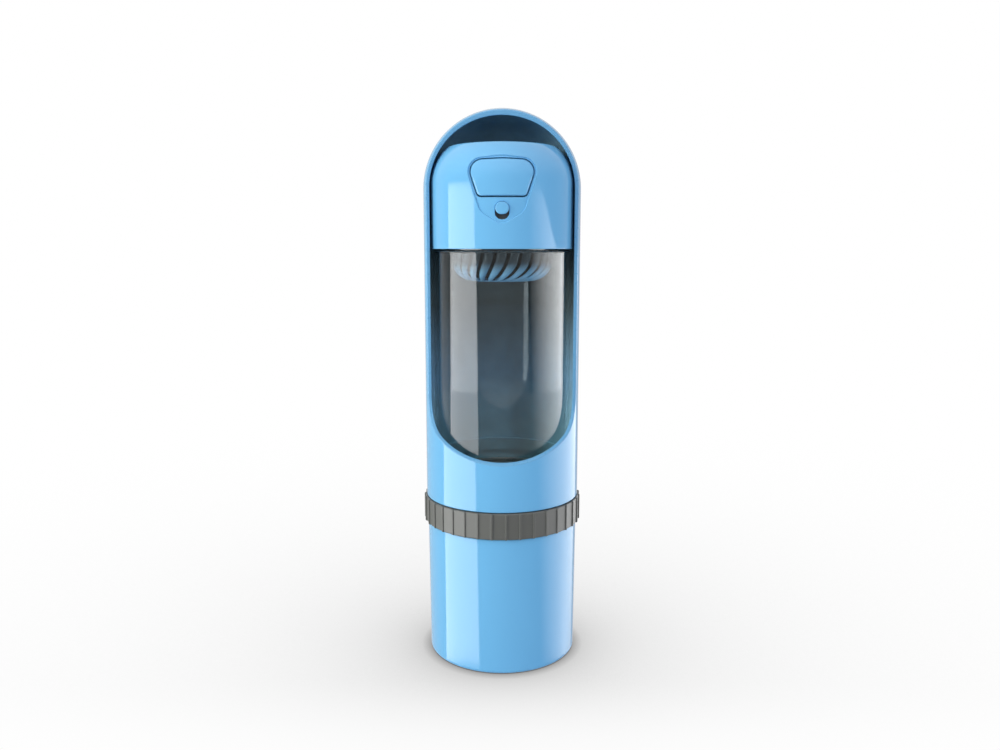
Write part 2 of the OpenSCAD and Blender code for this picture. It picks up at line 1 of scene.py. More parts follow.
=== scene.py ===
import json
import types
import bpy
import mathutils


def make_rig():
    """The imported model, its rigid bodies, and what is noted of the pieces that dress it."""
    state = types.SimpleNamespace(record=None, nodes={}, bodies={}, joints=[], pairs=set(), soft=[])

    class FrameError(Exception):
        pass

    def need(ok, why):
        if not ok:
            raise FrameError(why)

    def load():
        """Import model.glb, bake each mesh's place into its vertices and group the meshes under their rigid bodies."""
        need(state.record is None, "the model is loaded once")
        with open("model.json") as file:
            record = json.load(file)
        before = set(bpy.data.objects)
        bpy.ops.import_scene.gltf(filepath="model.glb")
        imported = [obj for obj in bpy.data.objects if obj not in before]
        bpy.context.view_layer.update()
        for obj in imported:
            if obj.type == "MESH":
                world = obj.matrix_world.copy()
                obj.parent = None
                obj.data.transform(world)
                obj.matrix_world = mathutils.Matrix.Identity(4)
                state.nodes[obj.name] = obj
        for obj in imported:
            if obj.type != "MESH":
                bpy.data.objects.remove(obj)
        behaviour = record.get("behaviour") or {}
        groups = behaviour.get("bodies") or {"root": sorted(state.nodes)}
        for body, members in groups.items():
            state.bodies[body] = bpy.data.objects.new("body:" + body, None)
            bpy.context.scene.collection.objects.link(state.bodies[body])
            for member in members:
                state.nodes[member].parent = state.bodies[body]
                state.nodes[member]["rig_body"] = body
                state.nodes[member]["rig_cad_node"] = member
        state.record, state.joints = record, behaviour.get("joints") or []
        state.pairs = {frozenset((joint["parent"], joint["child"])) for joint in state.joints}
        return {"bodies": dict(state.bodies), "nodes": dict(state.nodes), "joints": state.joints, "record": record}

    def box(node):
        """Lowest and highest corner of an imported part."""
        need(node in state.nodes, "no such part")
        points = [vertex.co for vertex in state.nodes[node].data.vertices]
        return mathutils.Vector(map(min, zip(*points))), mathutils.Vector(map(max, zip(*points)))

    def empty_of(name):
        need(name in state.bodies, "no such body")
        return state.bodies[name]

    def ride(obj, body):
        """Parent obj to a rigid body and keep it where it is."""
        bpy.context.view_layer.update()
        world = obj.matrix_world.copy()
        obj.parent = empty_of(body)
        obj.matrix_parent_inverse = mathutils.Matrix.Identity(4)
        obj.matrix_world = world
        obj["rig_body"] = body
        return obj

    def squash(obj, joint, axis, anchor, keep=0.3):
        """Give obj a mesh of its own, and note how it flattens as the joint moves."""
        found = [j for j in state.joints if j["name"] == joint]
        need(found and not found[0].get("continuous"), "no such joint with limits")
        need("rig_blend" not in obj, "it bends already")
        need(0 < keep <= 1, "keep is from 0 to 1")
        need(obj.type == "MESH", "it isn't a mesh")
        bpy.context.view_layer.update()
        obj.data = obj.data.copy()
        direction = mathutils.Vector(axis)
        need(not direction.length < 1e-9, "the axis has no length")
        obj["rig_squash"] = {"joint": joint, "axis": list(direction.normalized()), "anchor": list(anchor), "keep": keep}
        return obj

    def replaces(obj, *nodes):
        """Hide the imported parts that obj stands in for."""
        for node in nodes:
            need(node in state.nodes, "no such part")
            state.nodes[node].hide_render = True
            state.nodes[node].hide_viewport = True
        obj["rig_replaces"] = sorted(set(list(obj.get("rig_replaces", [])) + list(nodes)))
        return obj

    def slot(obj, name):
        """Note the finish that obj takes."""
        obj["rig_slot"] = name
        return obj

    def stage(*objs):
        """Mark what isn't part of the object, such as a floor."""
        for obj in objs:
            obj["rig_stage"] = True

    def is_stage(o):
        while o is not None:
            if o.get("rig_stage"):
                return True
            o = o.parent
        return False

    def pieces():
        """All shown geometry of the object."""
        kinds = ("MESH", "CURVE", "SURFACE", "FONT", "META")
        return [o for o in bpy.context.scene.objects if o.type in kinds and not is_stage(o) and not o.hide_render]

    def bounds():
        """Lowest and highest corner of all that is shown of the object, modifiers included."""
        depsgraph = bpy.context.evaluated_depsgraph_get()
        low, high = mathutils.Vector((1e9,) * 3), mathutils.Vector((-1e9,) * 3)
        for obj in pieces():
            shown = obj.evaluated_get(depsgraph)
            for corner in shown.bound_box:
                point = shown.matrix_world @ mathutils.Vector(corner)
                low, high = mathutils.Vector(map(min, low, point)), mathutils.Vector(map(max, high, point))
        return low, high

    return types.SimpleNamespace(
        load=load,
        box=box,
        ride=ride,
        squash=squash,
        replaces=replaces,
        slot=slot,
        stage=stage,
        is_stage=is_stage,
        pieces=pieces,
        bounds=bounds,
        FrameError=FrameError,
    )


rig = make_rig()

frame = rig.load()

import json
import math
from typing import NamedTuple

import bmesh
import bpy
import numpy as np
from bpy.props import FloatProperty, FloatVectorProperty, IntProperty, PointerProperty

bl_info = {
    "name": "Dog Travel Bottle",
    "version": (1, 0, 0),
    "blender": (4, 5, 0),
    "location": "3D View > Sidebar > Travel Bottle",
    "description": "Food cup, twist ring, clear tank, head with a water button and a hooded sliding trough",
    "category": "Add Mesh",
}

MM = 0.001
TURN = 2 * math.pi
CAD_BOUNDS = [list(corner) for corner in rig.bounds()]


def low(node):
    """Height of a node's lowest point."""
    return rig.box(node)[0].z


def high(node):
    """Height of a node's highest point."""
    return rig.box(node)[1].z


def half_width(node):
    """Largest distance of a node from the axis along X."""
    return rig.box(node)[1].x


def length(label, text, value):
    """A size that the user may change, in millimetres here and in metres in the scene."""
    return FloatProperty(name=label, description=text, default=value * MM, min=0, precision=5, unit="LENGTH")


def angle(label, text, degrees):
    """An angle that the user may change, in degrees here and in radians in the scene."""
    return FloatProperty(name=label, description=text, default=math.radians(degrees), unit="ROTATION")


def colour(label, text, value):
    """A colour that the user may change, written as an sRGB hex value."""
    return FloatVectorProperty(name=label, description=text, default=linear(value)[:3], size=3, min=0, max=1,
                               subtype="COLOR")


def linear(value):
    """Turns an sRGB hex value to the linear colour that shaders take: the standard sRGB curve per channel."""
    channels = [int(value[i:i + 2], 16) / 255 for i in (1, 3, 5)]
    return tuple(c / 12.92 if c <= 0.04045 else ((c + 0.055) / 1.055) ** 2.4 for c in channels) + (1.0,)


class TroughSizes(bpy.types.PropertyGroup):
    wall: length("Wall", "Wall of the trough", 1.6)
    rim_y: length("Rim", "Distance of the window's flat rim in front of the axis", 12.1)
    band_h: length("Band", "Height of the closed sleeve at the front", 22)
    slope: angle("Slope", "Slope of the window's lower edge", 33.4)
    blend: length("Blend", "Radius from the sloping edge into the upright rim", 22)
    edge: length("Edge", "Radius of the trough's edges", 0.4)
    hood_extra: length("Hood extra", "Extra thickness of the hood at its top", 0.75)


class HeadSizes(bpy.types.PropertyGroup):
    wall: length("Wall", "Wall of the head", 2.2)
    side_h: length("Side", "Height of the head's upright side", 29)
    shoulder: length("Shoulder", "Radius of the shoulder", 22)
    crown_edge: length("Crown edge", "Radius between shoulder and crown", 3)
    crown_rise: length("Crown rise", "Rise of the crown from its edge to its centre", 1.15)
    recess: length("Recess", "Depth of the shield-shaped recess", 0.6)
    recess_edge: length("Recess edge", "Half width of the recess's soft edge", 0.22)
    hole_edge: length("Hole edge", "Radius of the edges of the two holes", 0.25)


class ButtonSizes(bpy.types.PropertyGroup):
    top_half_w: length("Top half width", "Half width of the button near its top", 13.6)
    low_half_w: length("Low half width", "Half width of the button near its bottom", 11)
    height: length("Height", "Height of the button", 15.8)
    rise: length("Rise", "Height of its lower edge above the head's lower edge", 22.6)
    proud: length("Proud", "How far its face stands out from the recess floor", 0.35)
    edge: length("Edge", "Radius of the button's edge", 0.7)
    gap: length("Gap", "Gap between the button and its hole", 0.42)
    knob_w: length("Knob width", "Width of the lock knob", 5.9)
    knob_h: length("Knob height", "Height of the lock knob", 5.3)
    knob_edge: length("Knob edge", "Radius of the knob's edge", 0.55)
    travel: length("Lock travel", "Travel of the lock knob", 2)


class CupSizes(bpy.types.PropertyGroup):
    wall: length("Wall", "Wall of the cup", 1.8)
    draft: length("Draft", "How much the radius narrows towards the base", 0.6)
    edge: length("Edge", "Radius of the lower edge", 1.5)
    height: length("Height", "Height of the cup below its neck", 64.6)


class RingSizes(bpy.types.PropertyGroup):
    ribs: IntProperty(name="Ribs", description="Number of ribs and flats", default=36, min=12, max=72)
    rib_w: length("Rib width", "Width of one rib", 0.9)
    rib_h: length("Rib height", "How far a rib stands out from the corner", 0.5)
    flats: length("Flats", "Distance of the flats from the axis", 37.1)
    edge: length("Edge", "Radius of the ring's edges", 0.5)
    phase: angle("Phase", "How far the ring is turned towards +X", 2.8)


class FilterSizes(bpy.types.PropertyGroup):
    ribs: IntProperty(name="Ribs", description="Number of swirl ribs", default=24, min=12, max=40)
    share: FloatProperty(name="Rib share", description="Share of the pitch that a rib takes", default=0.7)
    swirl: angle("Swirl", "Angle through which a rib swirls", 24)
    wall: length("Wall", "Wall of the cage", 1.6)
    flat: length("Flat", "Radius of the flat bottom", 13.5)
    corner: length("Corner", "Height of the rounded corner", 8.8)


class Colours(bpy.types.PropertyGroup):
    body: colour("Body", "Blue of the moulded cup, head and trough", "#6CB0E4")
    # Painted shade: the rim's deeper blue stands in for the shade that the head casts on the rim face beside it.
    rim: colour("Rim", "Deeper blue of the trough's cut rim", "#619ECE")
    cage: colour("Cage", "Blue of the filter cage", "#8CCBFA")
    ring: colour("Ring", "Grey of the twist ring", "#5C5E5E")


PAD = 6


def sizes():
    """The user's sizes and colours, kept on the scene."""
    scene = bpy.context.scene
    return scene.trough_sizes, scene.head_sizes, scene.button_sizes


class Sheet(NamedTuple):
    """A grid of points [row, column, xyz], whether it closes on itself each way, and its finish."""
    points: np.ndarray
    close_rows: bool = False
    close_cols: bool = False
    finish: int = 0
    keep: np.ndarray = None


def grid_faces(sheet):
    """Four-cornered faces of a sheet whose points are numbered row by row; a closed way joins its last line
    to its first, and keep leaves out the faces marked False."""
    rows, cols = sheet.points.shape[:2]
    i = np.arange(rows - (not sheet.close_rows))[:, None]
    j = np.arange(cols - (not sheet.close_cols))[None, :]
    i2, j2 = (i + 1) % rows, (j + 1) % cols
    corners = np.stack(np.broadcast_arrays(i * cols + j, i * cols + j2, i2 * cols + j2, i2 * cols + j), -1)
    return corners.reshape(-1, 4) if sheet.keep is None else corners[sheet.keep]


def make_piece(name, sheets, finishes, body, stands_for, slot, crease=38):
    """One mesh from several sheets. Points that coincide are merged, so sheets that share an edge become one
    closed skin, whose faces are then turned outwards. Edges sharper than crease degrees stay sharp."""
    starts = np.cumsum([0] + [s.points.shape[0] * s.points.shape[1] for s in sheets])
    faces = [grid_faces(s) for s in sheets]
    points = np.concatenate([s.points.reshape(-1, 3) for s in sheets])
    finish = np.concatenate([np.full(len(f), s.finish) for f, s in zip(faces, sheets)])
    faces = np.concatenate([f + start for f, start in zip(faces, starts)])
    mesh = bpy.data.meshes.new(name)
    mesh.from_pydata(points.tolist(), [], faces.tolist())
    mesh.polygons.foreach_set("material_index", finish.astype(np.int32))
    for material in finishes:
        mesh.materials.append(material)
    skin = bmesh.new()
    skin.from_mesh(mesh)
    bmesh.ops.remove_doubles(skin, verts=skin.verts, dist=0.001 * MM)
    bmesh.ops.delete(skin, geom=[v for v in skin.verts if not v.link_faces], context="VERTS")
    bmesh.ops.recalc_face_normals(skin, faces=skin.faces)
    skin.to_mesh(mesh)
    skin.free()
    mesh.shade_smooth()
    mesh.set_sharp_from_angle(angle=math.radians(crease))
    piece = bpy.data.objects.new(name, mesh)
    bpy.context.scene.collection.objects.link(piece)
    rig.ride(piece, body)
    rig.replaces(piece, *stands_for)
    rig.slot(piece, slot)
    return piece


def rounded(corners, closed=True, steps=6, hold=0.06 * MM):
    """Outline whose corners (x, y, radius) are rounded by arcs tangent to both sides. Just past each arc's
    ends lies one more point, which keeps the sides flat in the shading. An open outline keeps its two ends."""
    corners = np.asarray(corners, float)
    point, radius = corners[:, :2], corners[:, 2:]
    before = np.roll(point, 1, 0) - point
    after = np.roll(point, -1, 0) - point
    before /= np.linalg.norm(before, axis=1, keepdims=True)
    after /= np.linalg.norm(after, axis=1, keepdims=True)
    half = np.arccos(np.clip((before * after).sum(1, keepdims=True), -1, 1)) / 2
    half = np.maximum(half, 1e-3)
    reach = radius / np.tan(half)
    middle = before + after
    middle /= np.maximum(np.linalg.norm(middle, axis=1, keepdims=True), 1e-9)
    centre = point + middle * radius / np.sin(half)
    sweep = np.maximum(np.pi - 2 * half, 1e-6)
    k = np.linspace(0, 1, steps + 1)[None, :, None]
    start, end = point + before * reach - centre, point + after * reach - centre
    sweep = sweep[:, None]
    arcs = (centre[:, None] + (np.sin((1 - k) * sweep) * start[:, None] + np.sin(k * sweep) * end[:, None])
            / np.sin(sweep))
    holds = [(point + side * (reach + hold))[:, None] for side in (before, after)]
    outline = np.concatenate([holds[0], arcs, holds[1]], 1).reshape(-1, 2)
    return outline if closed else outline[1:-1]


def turned(profile, angles):
    """A profile of (radius, height) turned about Z: each point becomes (r sin a, -r cos a, z) at each angle a
    from the front."""
    r, z = profile[:, :1], profile[:, 1:]
    return np.stack([r * np.sin(angles), -r * np.cos(angles), z + 0 * angles], -1)


def all_round(count):
    """Angles all the way round from the front."""
    return np.arange(count) / count * TURN


def quarter(steps=6):
    """Angles of a quarter round."""
    return np.linspace(0, math.pi / 2, steps + 1)


def window_edge(sizes, radius, inset):
    """One half of the window's edge on a hooded tube of this radius, set into the wall by inset, in four
    stretches from the front centre to the top: the sloping line z = z0 + y tan(slope), the arc that blends it
    into the rim, the upright rim, and the half circle round the hood. Each gives x, y and z."""
    shell_r, z0 = half_width("trough_shell"), low("trough_shell")
    hood_z = high("trough_shell") - shell_r
    slope_z = z0 + sizes.band_h + (shell_r - sizes.rim_y) * math.tan(sizes.slope)
    arc_y = -sizes.rim_y - sizes.blend
    arc_z = slope_z + sizes.blend * math.tan((math.pi / 2 - sizes.slope) / 2)
    arc_r = sizes.blend + inset
    meet_y = arc_y + arc_r * math.sin(sizes.slope)
    meet_z = arc_z - arc_r * math.cos(sizes.slope)
    turn = np.linspace(0, math.acos(-meet_y / radius), 40)
    slope_y = -radius * np.cos(turn)
    line = np.stack([radius * np.sin(turn), slope_y, meet_z + (slope_y - meet_y) * math.tan(sizes.slope)], -1)
    bend = np.linspace(sizes.slope - math.pi / 2, 0, 24)
    bend_y = arc_y + arc_r * np.cos(bend)
    arc = np.stack([np.sqrt(radius ** 2 - bend_y ** 2), bend_y, arc_z + arc_r * np.sin(bend)], -1)
    rim = -sizes.rim_y + inset
    half = math.sqrt(radius ** 2 - rim ** 2)
    level = np.linspace(arc_z, hood_z, 30)
    upright = np.stack([half + 0 * level, rim + 0 * level, level], -1)
    lift = np.linspace(0, math.pi / 2, 40)
    sag = sizes.hood_extra * (shell_r - radius) / sizes.wall * np.sin(lift) ** 2
    arch = np.stack([half * np.cos(lift), rim + 0 * lift, hood_z + half * np.sin(lift) - sag], -1)
    return line, arc, upright, arch


def both_sides(half):
    """A half outline that starts on the middle plane, and its mirror image, from the left end to the right."""
    return np.concatenate([half[::-1] * [-1, 1, 1], half])


def trough_skin(sizes, radius, inset, z0):
    """One skin of the trough. In front it runs straight up from the lower edge to the window's edge; behind
    the rim it is a family of slices y = R sin b, each with upright sides and a half-circle top."""
    line, arc, upright, arch = window_edge(sizes, radius, inset)
    share = np.concatenate([[0, 0.004], np.linspace(0.02, 0.98, 40), [0.996, 1]])[:, None]
    front = both_sides(np.concatenate([line, arc[1:]]))
    height = z0 + (front[None, :, 2] - z0) * share
    front = np.stack([front[None, :, 0] + 0 * height, front[None, :, 1] + 0 * height, height], -1)
    arc_z, hood_z = arc[-1, 2], upright[-1, 2]
    levels = np.concatenate([z0 + (arc_z - z0) * share[:, 0], upright[1:, 2]])
    lift = np.linspace(0, math.pi / 2, 40)[1:]
    across = np.concatenate([1 + 0 * levels, np.cos(lift)])
    up = np.concatenate([0 * levels, np.sin(lift)])
    base = np.concatenate([levels, hood_z + 0 * lift])
    across = np.concatenate([across, -across[-2::-1]])[:, None]
    up = np.concatenate([up, up[-2::-1]])[:, None]
    base = np.concatenate([base, base[-2::-1]])[:, None]
    b0 = math.asin((-sizes.rim_y + inset) / radius)
    b = b0 + (math.pi / 2 - b0) * np.concatenate([[0, 0.003], np.linspace(0.02, 1, 60)])[None, :]
    half = radius * np.cos(b)
    sag = sizes.hood_extra * (half_width("trough_shell") - radius) / sizes.wall * up ** 2 * half / half[:, :1]
    back = np.stack([half * across, radius * np.sin(b) + 0 * across, base + half * up - sag], -1)
    foot = np.concatenate([front[0], back[0, 1:], back[-1, -2:0:-1]])
    return front, back, foot


def make_trough(context):
    """The hooded trough: an outer and an inner skin, joined by a flat rim and a flat lower edge whose corners
    are quarter rounds. A corner point at angle q is set in by f(1 - sin q) and stands f(1 - cos q) off."""
    sizes = context.scene.trough_sizes
    edge = sizes.edge
    outer_r, z0 = half_width("trough_shell"), low("trough_shell")
    inner_r = outer_r - sizes.wall
    outer = trough_skin(sizes, outer_r, edge, z0 + edge)
    inner = trough_skin(sizes, inner_r, edge, z0 + edge)
    q = quarter()
    drop, inset = edge * (1 - np.cos(q)), edge * (1 - np.sin(q))
    hold = 0.08 * MM
    drop = np.append(drop, drop[-1] + hold)
    inset = np.append(inset, 0)
    rows = [(outer_r - d, i) for d, i in zip(drop, inset)] + [(inner_r + d, i) for d, i in zip(drop, inset)][::-1]
    rim = []
    for radius, set_in in rows:
        half = np.concatenate(window_edge(sizes, radius, set_in))
        rim.append(np.concatenate([half, half[::-1] * [-1, 1, 1]]))
    foot = [outer[2][:, :2] * (outer_r - d) / outer_r for d in drop]
    foot += [inner[2][:, :2] * (inner_r + d) / inner_r for d in drop][::-1]
    foot_z = np.concatenate([z0 + inset, z0 + inset[::-1]])[:, None]
    foot = np.array(foot)
    foot = np.concatenate([foot, (foot_z + 0 * foot[:, :, 0])[..., None]], -1)
    sheets = [Sheet(outer[0]), Sheet(outer[1]), Sheet(inner[0], finish=1), Sheet(inner[1], finish=1),
              Sheet(np.array(rim), close_cols=True, finish=2), Sheet(foot, close_cols=True)]
    finishes = [blue_abs(), painted_shade_inside(), painted_shade_rim()]
    return make_piece("hooded_trough", sheets, finishes, "trough", ["trough_shell"], "blue_abs")


def head_inset_radius(z, inset=0):
    """Radius of the head's surface at height z, set in along its normal: the upright side, then an arc."""
    sizes = bpy.context.scene.head_sizes
    rise = np.maximum(z - low("head_shell") - sizes.side_h, 0)
    centre_x = half_width("head_shell") - sizes.shoulder
    return centre_x + np.sqrt((sizes.shoulder - inset) ** 2 - rise ** 2)


def on_head(x, z, inset=0):
    """Points on the front of the head's surface above (x, z), set in along its normal."""
    return np.stack([x + 0 * z, -np.sqrt(head_inset_radius(z, inset) ** 2 - x ** 2), z + 0 * x], -1)


def head_profile(sizes, inset, levels, lifts):
    """Radius and height along the head's surface: the given levels of the upright side, the given angles of
    the shoulder's arc, a small arc of the crown's edge tangent to both, and the crown's shallow parabola."""
    z0 = low("head_shell")
    centre_x = half_width("head_shell") - sizes.shoulder
    centre_z = z0 + sizes.side_h
    edge = sizes.crown_edge
    crown_z = high("head_shell") - sizes.crown_rise
    edge_z = crown_z - edge
    edge_x = centre_x + math.sqrt((sizes.shoulder - edge) ** 2 - (edge_z - centre_z) ** 2)
    start = math.atan2(edge_z - centre_z, edge_x - centre_x)
    side = np.stack([half_width("head_shell") - inset + 0 * levels, levels], -1)
    lifts = np.concatenate([lifts, np.linspace(lifts[-1], start, 12)[1:]])
    shoulder_r = sizes.shoulder - inset
    shoulder = np.stack([centre_x + shoulder_r * np.cos(lifts), centre_z + shoulder_r * np.sin(lifts)], -1)
    bend = np.linspace(start, math.pi / 2, 12)[1:]
    corner = np.stack([edge_x + (edge - inset) * np.cos(bend), edge_z + (edge - inset) * np.sin(bend)], -1)
    share = np.linspace(1, 0, 20)[1:]
    crown = np.stack([edge_x * share, crown_z - inset + sizes.crown_rise * (1 - share ** 2)], -1)
    return np.concatenate([side, shoulder, corner, crown])


NORMALS = np.stack([np.cos(all_round(720)), np.sin(all_round(720))])


def support(circles, grow=0):
    """Support function of the hull of circles (x, z, radius): for each direction the furthest c.n + r."""
    circles = np.asarray(circles)
    return (circles[:, :2] @ NORMALS + circles[:, 2:] + grow).max(0)


def outline_reach(circles, centre, ways, grow=0):
    """How far the outline of a hull of circles lies from the centre along each way: the least
    (h(n) - c.n) / (w.n) over all directions n that face that way."""
    facing = ways @ NORMALS
    room = support(circles, grow) - np.asarray(centre) @ NORMALS
    return np.where(facing > 1e-3, room / np.maximum(facing, 1e-3), np.inf).min(-1)


def outline_distance(circles, x, z):
    """Signed distance from the outline of a hull of circles, negative inside: the largest p.n - h(n)."""
    point = np.stack(np.broadcast_arrays(x, z), -1)
    reach = support(circles)
    return np.array([(row @ NORMALS - reach).max(-1) for row in point])


def button_circles(sizes, low_by=0):
    """Circles whose hull is the water button's outline: two round the top corners, one above the middle that
    bows the top edge, and two small ones at the lower corners."""
    top_r, low_r, bow = 5.2 * MM, 2.1 * MM, 0.3 * MM
    z0 = low("head_shell") + sizes.rise
    top_z = z0 + sizes.height - top_r
    top_x, low_x = sizes.top_half_w - top_r, sizes.low_half_w - low_r
    return np.array([(-top_x, top_z - bow, top_r), (top_x, top_z - bow, top_r), (0, top_z, top_r),
                     (-low_x, z0 + low_r - low_by, low_r), (low_x, z0 + low_r - low_by, low_r)])


def shield_circles(sizes):
    """Circles whose hull is the shield-shaped recess: wide round the button, tapering to a point below."""
    z0 = low("head_shell") + sizes.rise
    z1 = z0 + sizes.height
    top_r, mid_r, tip_r = 6 * MM, 6 * MM, 4.5 * MM
    side_x = sizes.top_half_w + 1.1 * MM - top_r
    mid_x = 4.6 * MM
    tip_z = slot_span(sizes)[0] - 1.6 * MM + tip_r
    return np.array([(-side_x, z1 + 0.6 * MM - top_r, top_r), (side_x, z1 + 0.6 * MM - top_r, top_r),
                     (0, z1 + 1.4 * MM - top_r, top_r), (0, tip_z, tip_r),
                     (-mid_x, z0 - 2.6 * MM, mid_r), (mid_x, z0 - 2.6 * MM, mid_r)])


def slot_span(sizes):
    """Lower and upper end of the lock's slot."""
    top = low("head_shell") + 20.2 * MM
    return top - 0.3 * MM - sizes.knob_h - sizes.travel, top


def box_circles(half_w, z0, z1, radius):
    """Circles whose hull is a rectangle with rounded corners."""
    return np.array([(x, z, radius) for x in (radius - half_w, half_w - radius) for z in (z0 + radius, z1 - radius)])


def ring_of(grid, i0, i1, j1):
    """The points round a block of a grid, rows i0 to i1 and columns 0 to j1, once round."""
    return np.concatenate([grid[i0, :j1], grid[i0:i1, j1], grid[i1, j1:0:-1], grid[i1:i0:-1, 0]])


def hole_cell(sizes, outer_ring, inner_ring, centre, hole, shield):
    """The part of the head round one hole. Each line runs straight from the hole's centre, in X and Z, to a
    point of the cell's border, and every point lies on the head's surface, set in by the recess and by the
    rounding of the hole's edge. A wall along Y joins it to the same lines on the inner skin."""
    centre = np.asarray(centre)
    border = outer_ring[:, [0, 2]]
    ways = border - centre
    whole = np.linalg.norm(ways, axis=1)
    ways = ways / whole[:, None]
    start = outline_reach(hole, centre, ways)
    soft = sizes.recess_edge
    near = np.array([0, 0.03, 0.07, 0.13, 0.2, 0.28, 0.4])[:, None] * MM
    first = start + near[-1, 0]
    step = np.clip(outline_reach(shield, centre, ways), first + soft, whole - 1.2 * soft)
    share = np.linspace(0, 1, 11)[1:, None]
    reach = np.concatenate([start + near, first + (step - soft - first) * share,
                            step - soft + 2 * soft * share, step + soft + (whole - step - soft) * share])
    x = centre[0] + reach * ways[:, 0]
    z = centre[1] + reach * ways[:, 1]
    inside = np.clip((soft - outline_distance(shield, x, z)) / (2 * soft), 0, 1)
    inset = sizes.recess * inside * inside * (3 - 2 * inside)
    edge = sizes.hole_edge
    close = np.clip(1 - outline_distance(hole, x, z) / edge, 0, 1)
    inset = inset + edge * (1 - np.sqrt(1 - close ** 2))
    outer = on_head(x, z, inset)
    share = np.linspace(0, 1, 9)[:, None]
    x_in = x[:1] + (inner_ring[:, 0] - x[:1]) * share
    z_in = z[:1] + (inner_ring[:, 2] - z[:1]) * share
    inner = on_head(x_in, z_in, sizes.wall)
    wall = outer[:1] + (inner[:1] - outer[:1]) * np.linspace(0, 1, 5)[:, None, None]
    return [Sheet(outer, close_cols=True), Sheet(inner, close_cols=True), Sheet(wall, close_cols=True)]


def make_head(context):
    """The head: a turned profile with two holes at the front. The block of the grid round the holes is
    replaced by two cells whose lines run out from the holes. The inner skin is the profile set in."""
    sizes, button = context.scene.head_sizes, context.scene.button_sizes
    z0 = low("head_shell")
    edge = 0.3 * MM
    shoulder_z = z0 + sizes.side_h
    split_z = z0 + 21.2 * MM
    cell_z = z0 + 9.6 * MM
    levels = np.concatenate([z0 + edge + np.array([0, 0.06, 1.5, 3.5, 6]) * MM,
                             np.linspace(cell_z, split_z, 26), np.linspace(split_z, shoulder_z, 19)[1:]])
    cell_lift = math.radians(37)
    lifts = np.linspace(0, cell_lift, 33)[1:]
    first, middle = 5, 5 + 25
    last = len(levels) + len(lifts) - 1
    half_cell = math.radians(31)
    cell_cols = 96
    angles = np.concatenate([np.linspace(-half_cell, half_cell, cell_cols + 1),
                             np.linspace(half_cell, TURN - half_cell, 151)[1:-1]])
    outer = turned(head_profile(sizes, 0, levels, lifts), angles)
    inner = turned(head_profile(sizes, sizes.wall, levels, lifts), angles)
    keep = np.ones((len(outer) - 1, len(angles)), bool)
    keep[first:last, :cell_cols] = False
    q = quarter(5)
    outer_r = half_width("head_shell")
    foot = np.concatenate([np.stack([outer_r - edge * (1 - np.cos(q)), z0 + edge * (1 - np.sin(q))], -1),
                           [[outer_r - edge - 0.06 * MM, z0], [outer_r - sizes.wall + 0.06 * MM, z0],
                            [outer_r - sizes.wall, z0], [outer_r - sizes.wall, z0 + edge]]])
    hole = button_circles(button, 0.2 * MM) + [0, 0, button.gap]
    slot_z0, slot_z1 = slot_span(button)
    slot = box_circles(button.knob_w / 2 + 0.15 * MM, slot_z0, slot_z1, 2.9 * MM)
    shield = shield_circles(button)
    centre = (0, z0 + button.rise + button.height / 2)
    upper = hole_cell(sizes, ring_of(outer, middle, last, cell_cols), ring_of(inner, middle, last, cell_cols),
                      centre, hole, shield)
    lower = hole_cell(sizes, ring_of(outer, first, middle, cell_cols), ring_of(inner, first, middle, cell_cols),
                      (0, (slot_z0 + slot_z1) / 2), slot, shield)
    sheets = [Sheet(outer, close_cols=True, keep=keep), Sheet(inner, close_cols=True, keep=keep),
              Sheet(turned(foot, angles), close_cols=True)] + upper + lower
    return make_piece("bottle_head", sheets, [blue_abs()], "core", ["head_shell"], "blue_abs")


def pad_rows(circles, centre, ways, face_inset, edge):
    """Rows of a pad's face from its centre to its rounded edge: straight shares of the outline, then a
    quarter round whose point at angle q lies f(1 - sin q) inside the outline and f(1 - cos q) deeper."""
    share = np.linspace(0, 1, 25)[:-1, None]
    near = outline_reach(circles, centre, ways, -edge)
    q = quarter(8)
    reach = np.concatenate([share * near, [outline_reach(circles, centre, ways, -edge * (1 - math.sin(a))) for a in q]])
    inset = np.concatenate([face_inset + 0 * share[:, 0], face_inset + edge * (1 - np.cos(q))])[:, None]
    x = centre[0] + reach * ways[:, 0]
    z = centre[1] + reach * ways[:, 1]
    return on_head(x, z, inset + 0 * x)


def pad_ring(circles, centre, ways, grow, y=None, inset=None):
    """One row round a pad on its outline grown by grow, at a depth y or set in from the head's surface."""
    reach = outline_reach(circles, centre, ways, grow)
    x, z = centre[0] + reach * ways[:, 0], centre[1] + reach * ways[:, 1]
    return on_head(x, z, inset) if y is None else np.stack([x, y + 0 * x, z], -1)


def make_button(context):
    """The water button: a face that follows the head, a rounded edge, a skirt along Y, a flange and a hollow
    back of even wall."""
    sizes, head = context.scene.button_sizes, context.scene.head_sizes
    circles = button_circles(sizes)
    centre = (0, low("head_shell") + sizes.rise + sizes.height / 2)
    a = all_round(320)
    ways = np.stack([np.cos(a), np.sin(a)], -1)
    face = head.recess - sizes.proud
    wall = 1.5 * MM
    back_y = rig.box("water_button")[1].y
    flange_y, flange = back_y - 1.4 * MM, 1.2 * MM
    front = pad_rows(circles, centre, ways, face, sizes.edge)
    hollow = pad_rows(circles, centre, ways, face + wall, 0.01 * MM)[:-1]
    hollow = hollow[:-8]
    inner = centre_rows(circles, centre, ways, face + wall, -wall)
    rows = np.concatenate([
        front,
        [pad_ring(circles, centre, ways, 0, y=flange_y), pad_ring(circles, centre, ways, flange, y=flange_y),
         pad_ring(circles, centre, ways, flange, y=back_y), pad_ring(circles, centre, ways, -wall, y=back_y)],
        inner[::-1]])
    return make_piece("water_button_cap", [Sheet(rows, close_cols=True)], [blue_abs()], "button",
                      ["water_button"], "blue_abs")


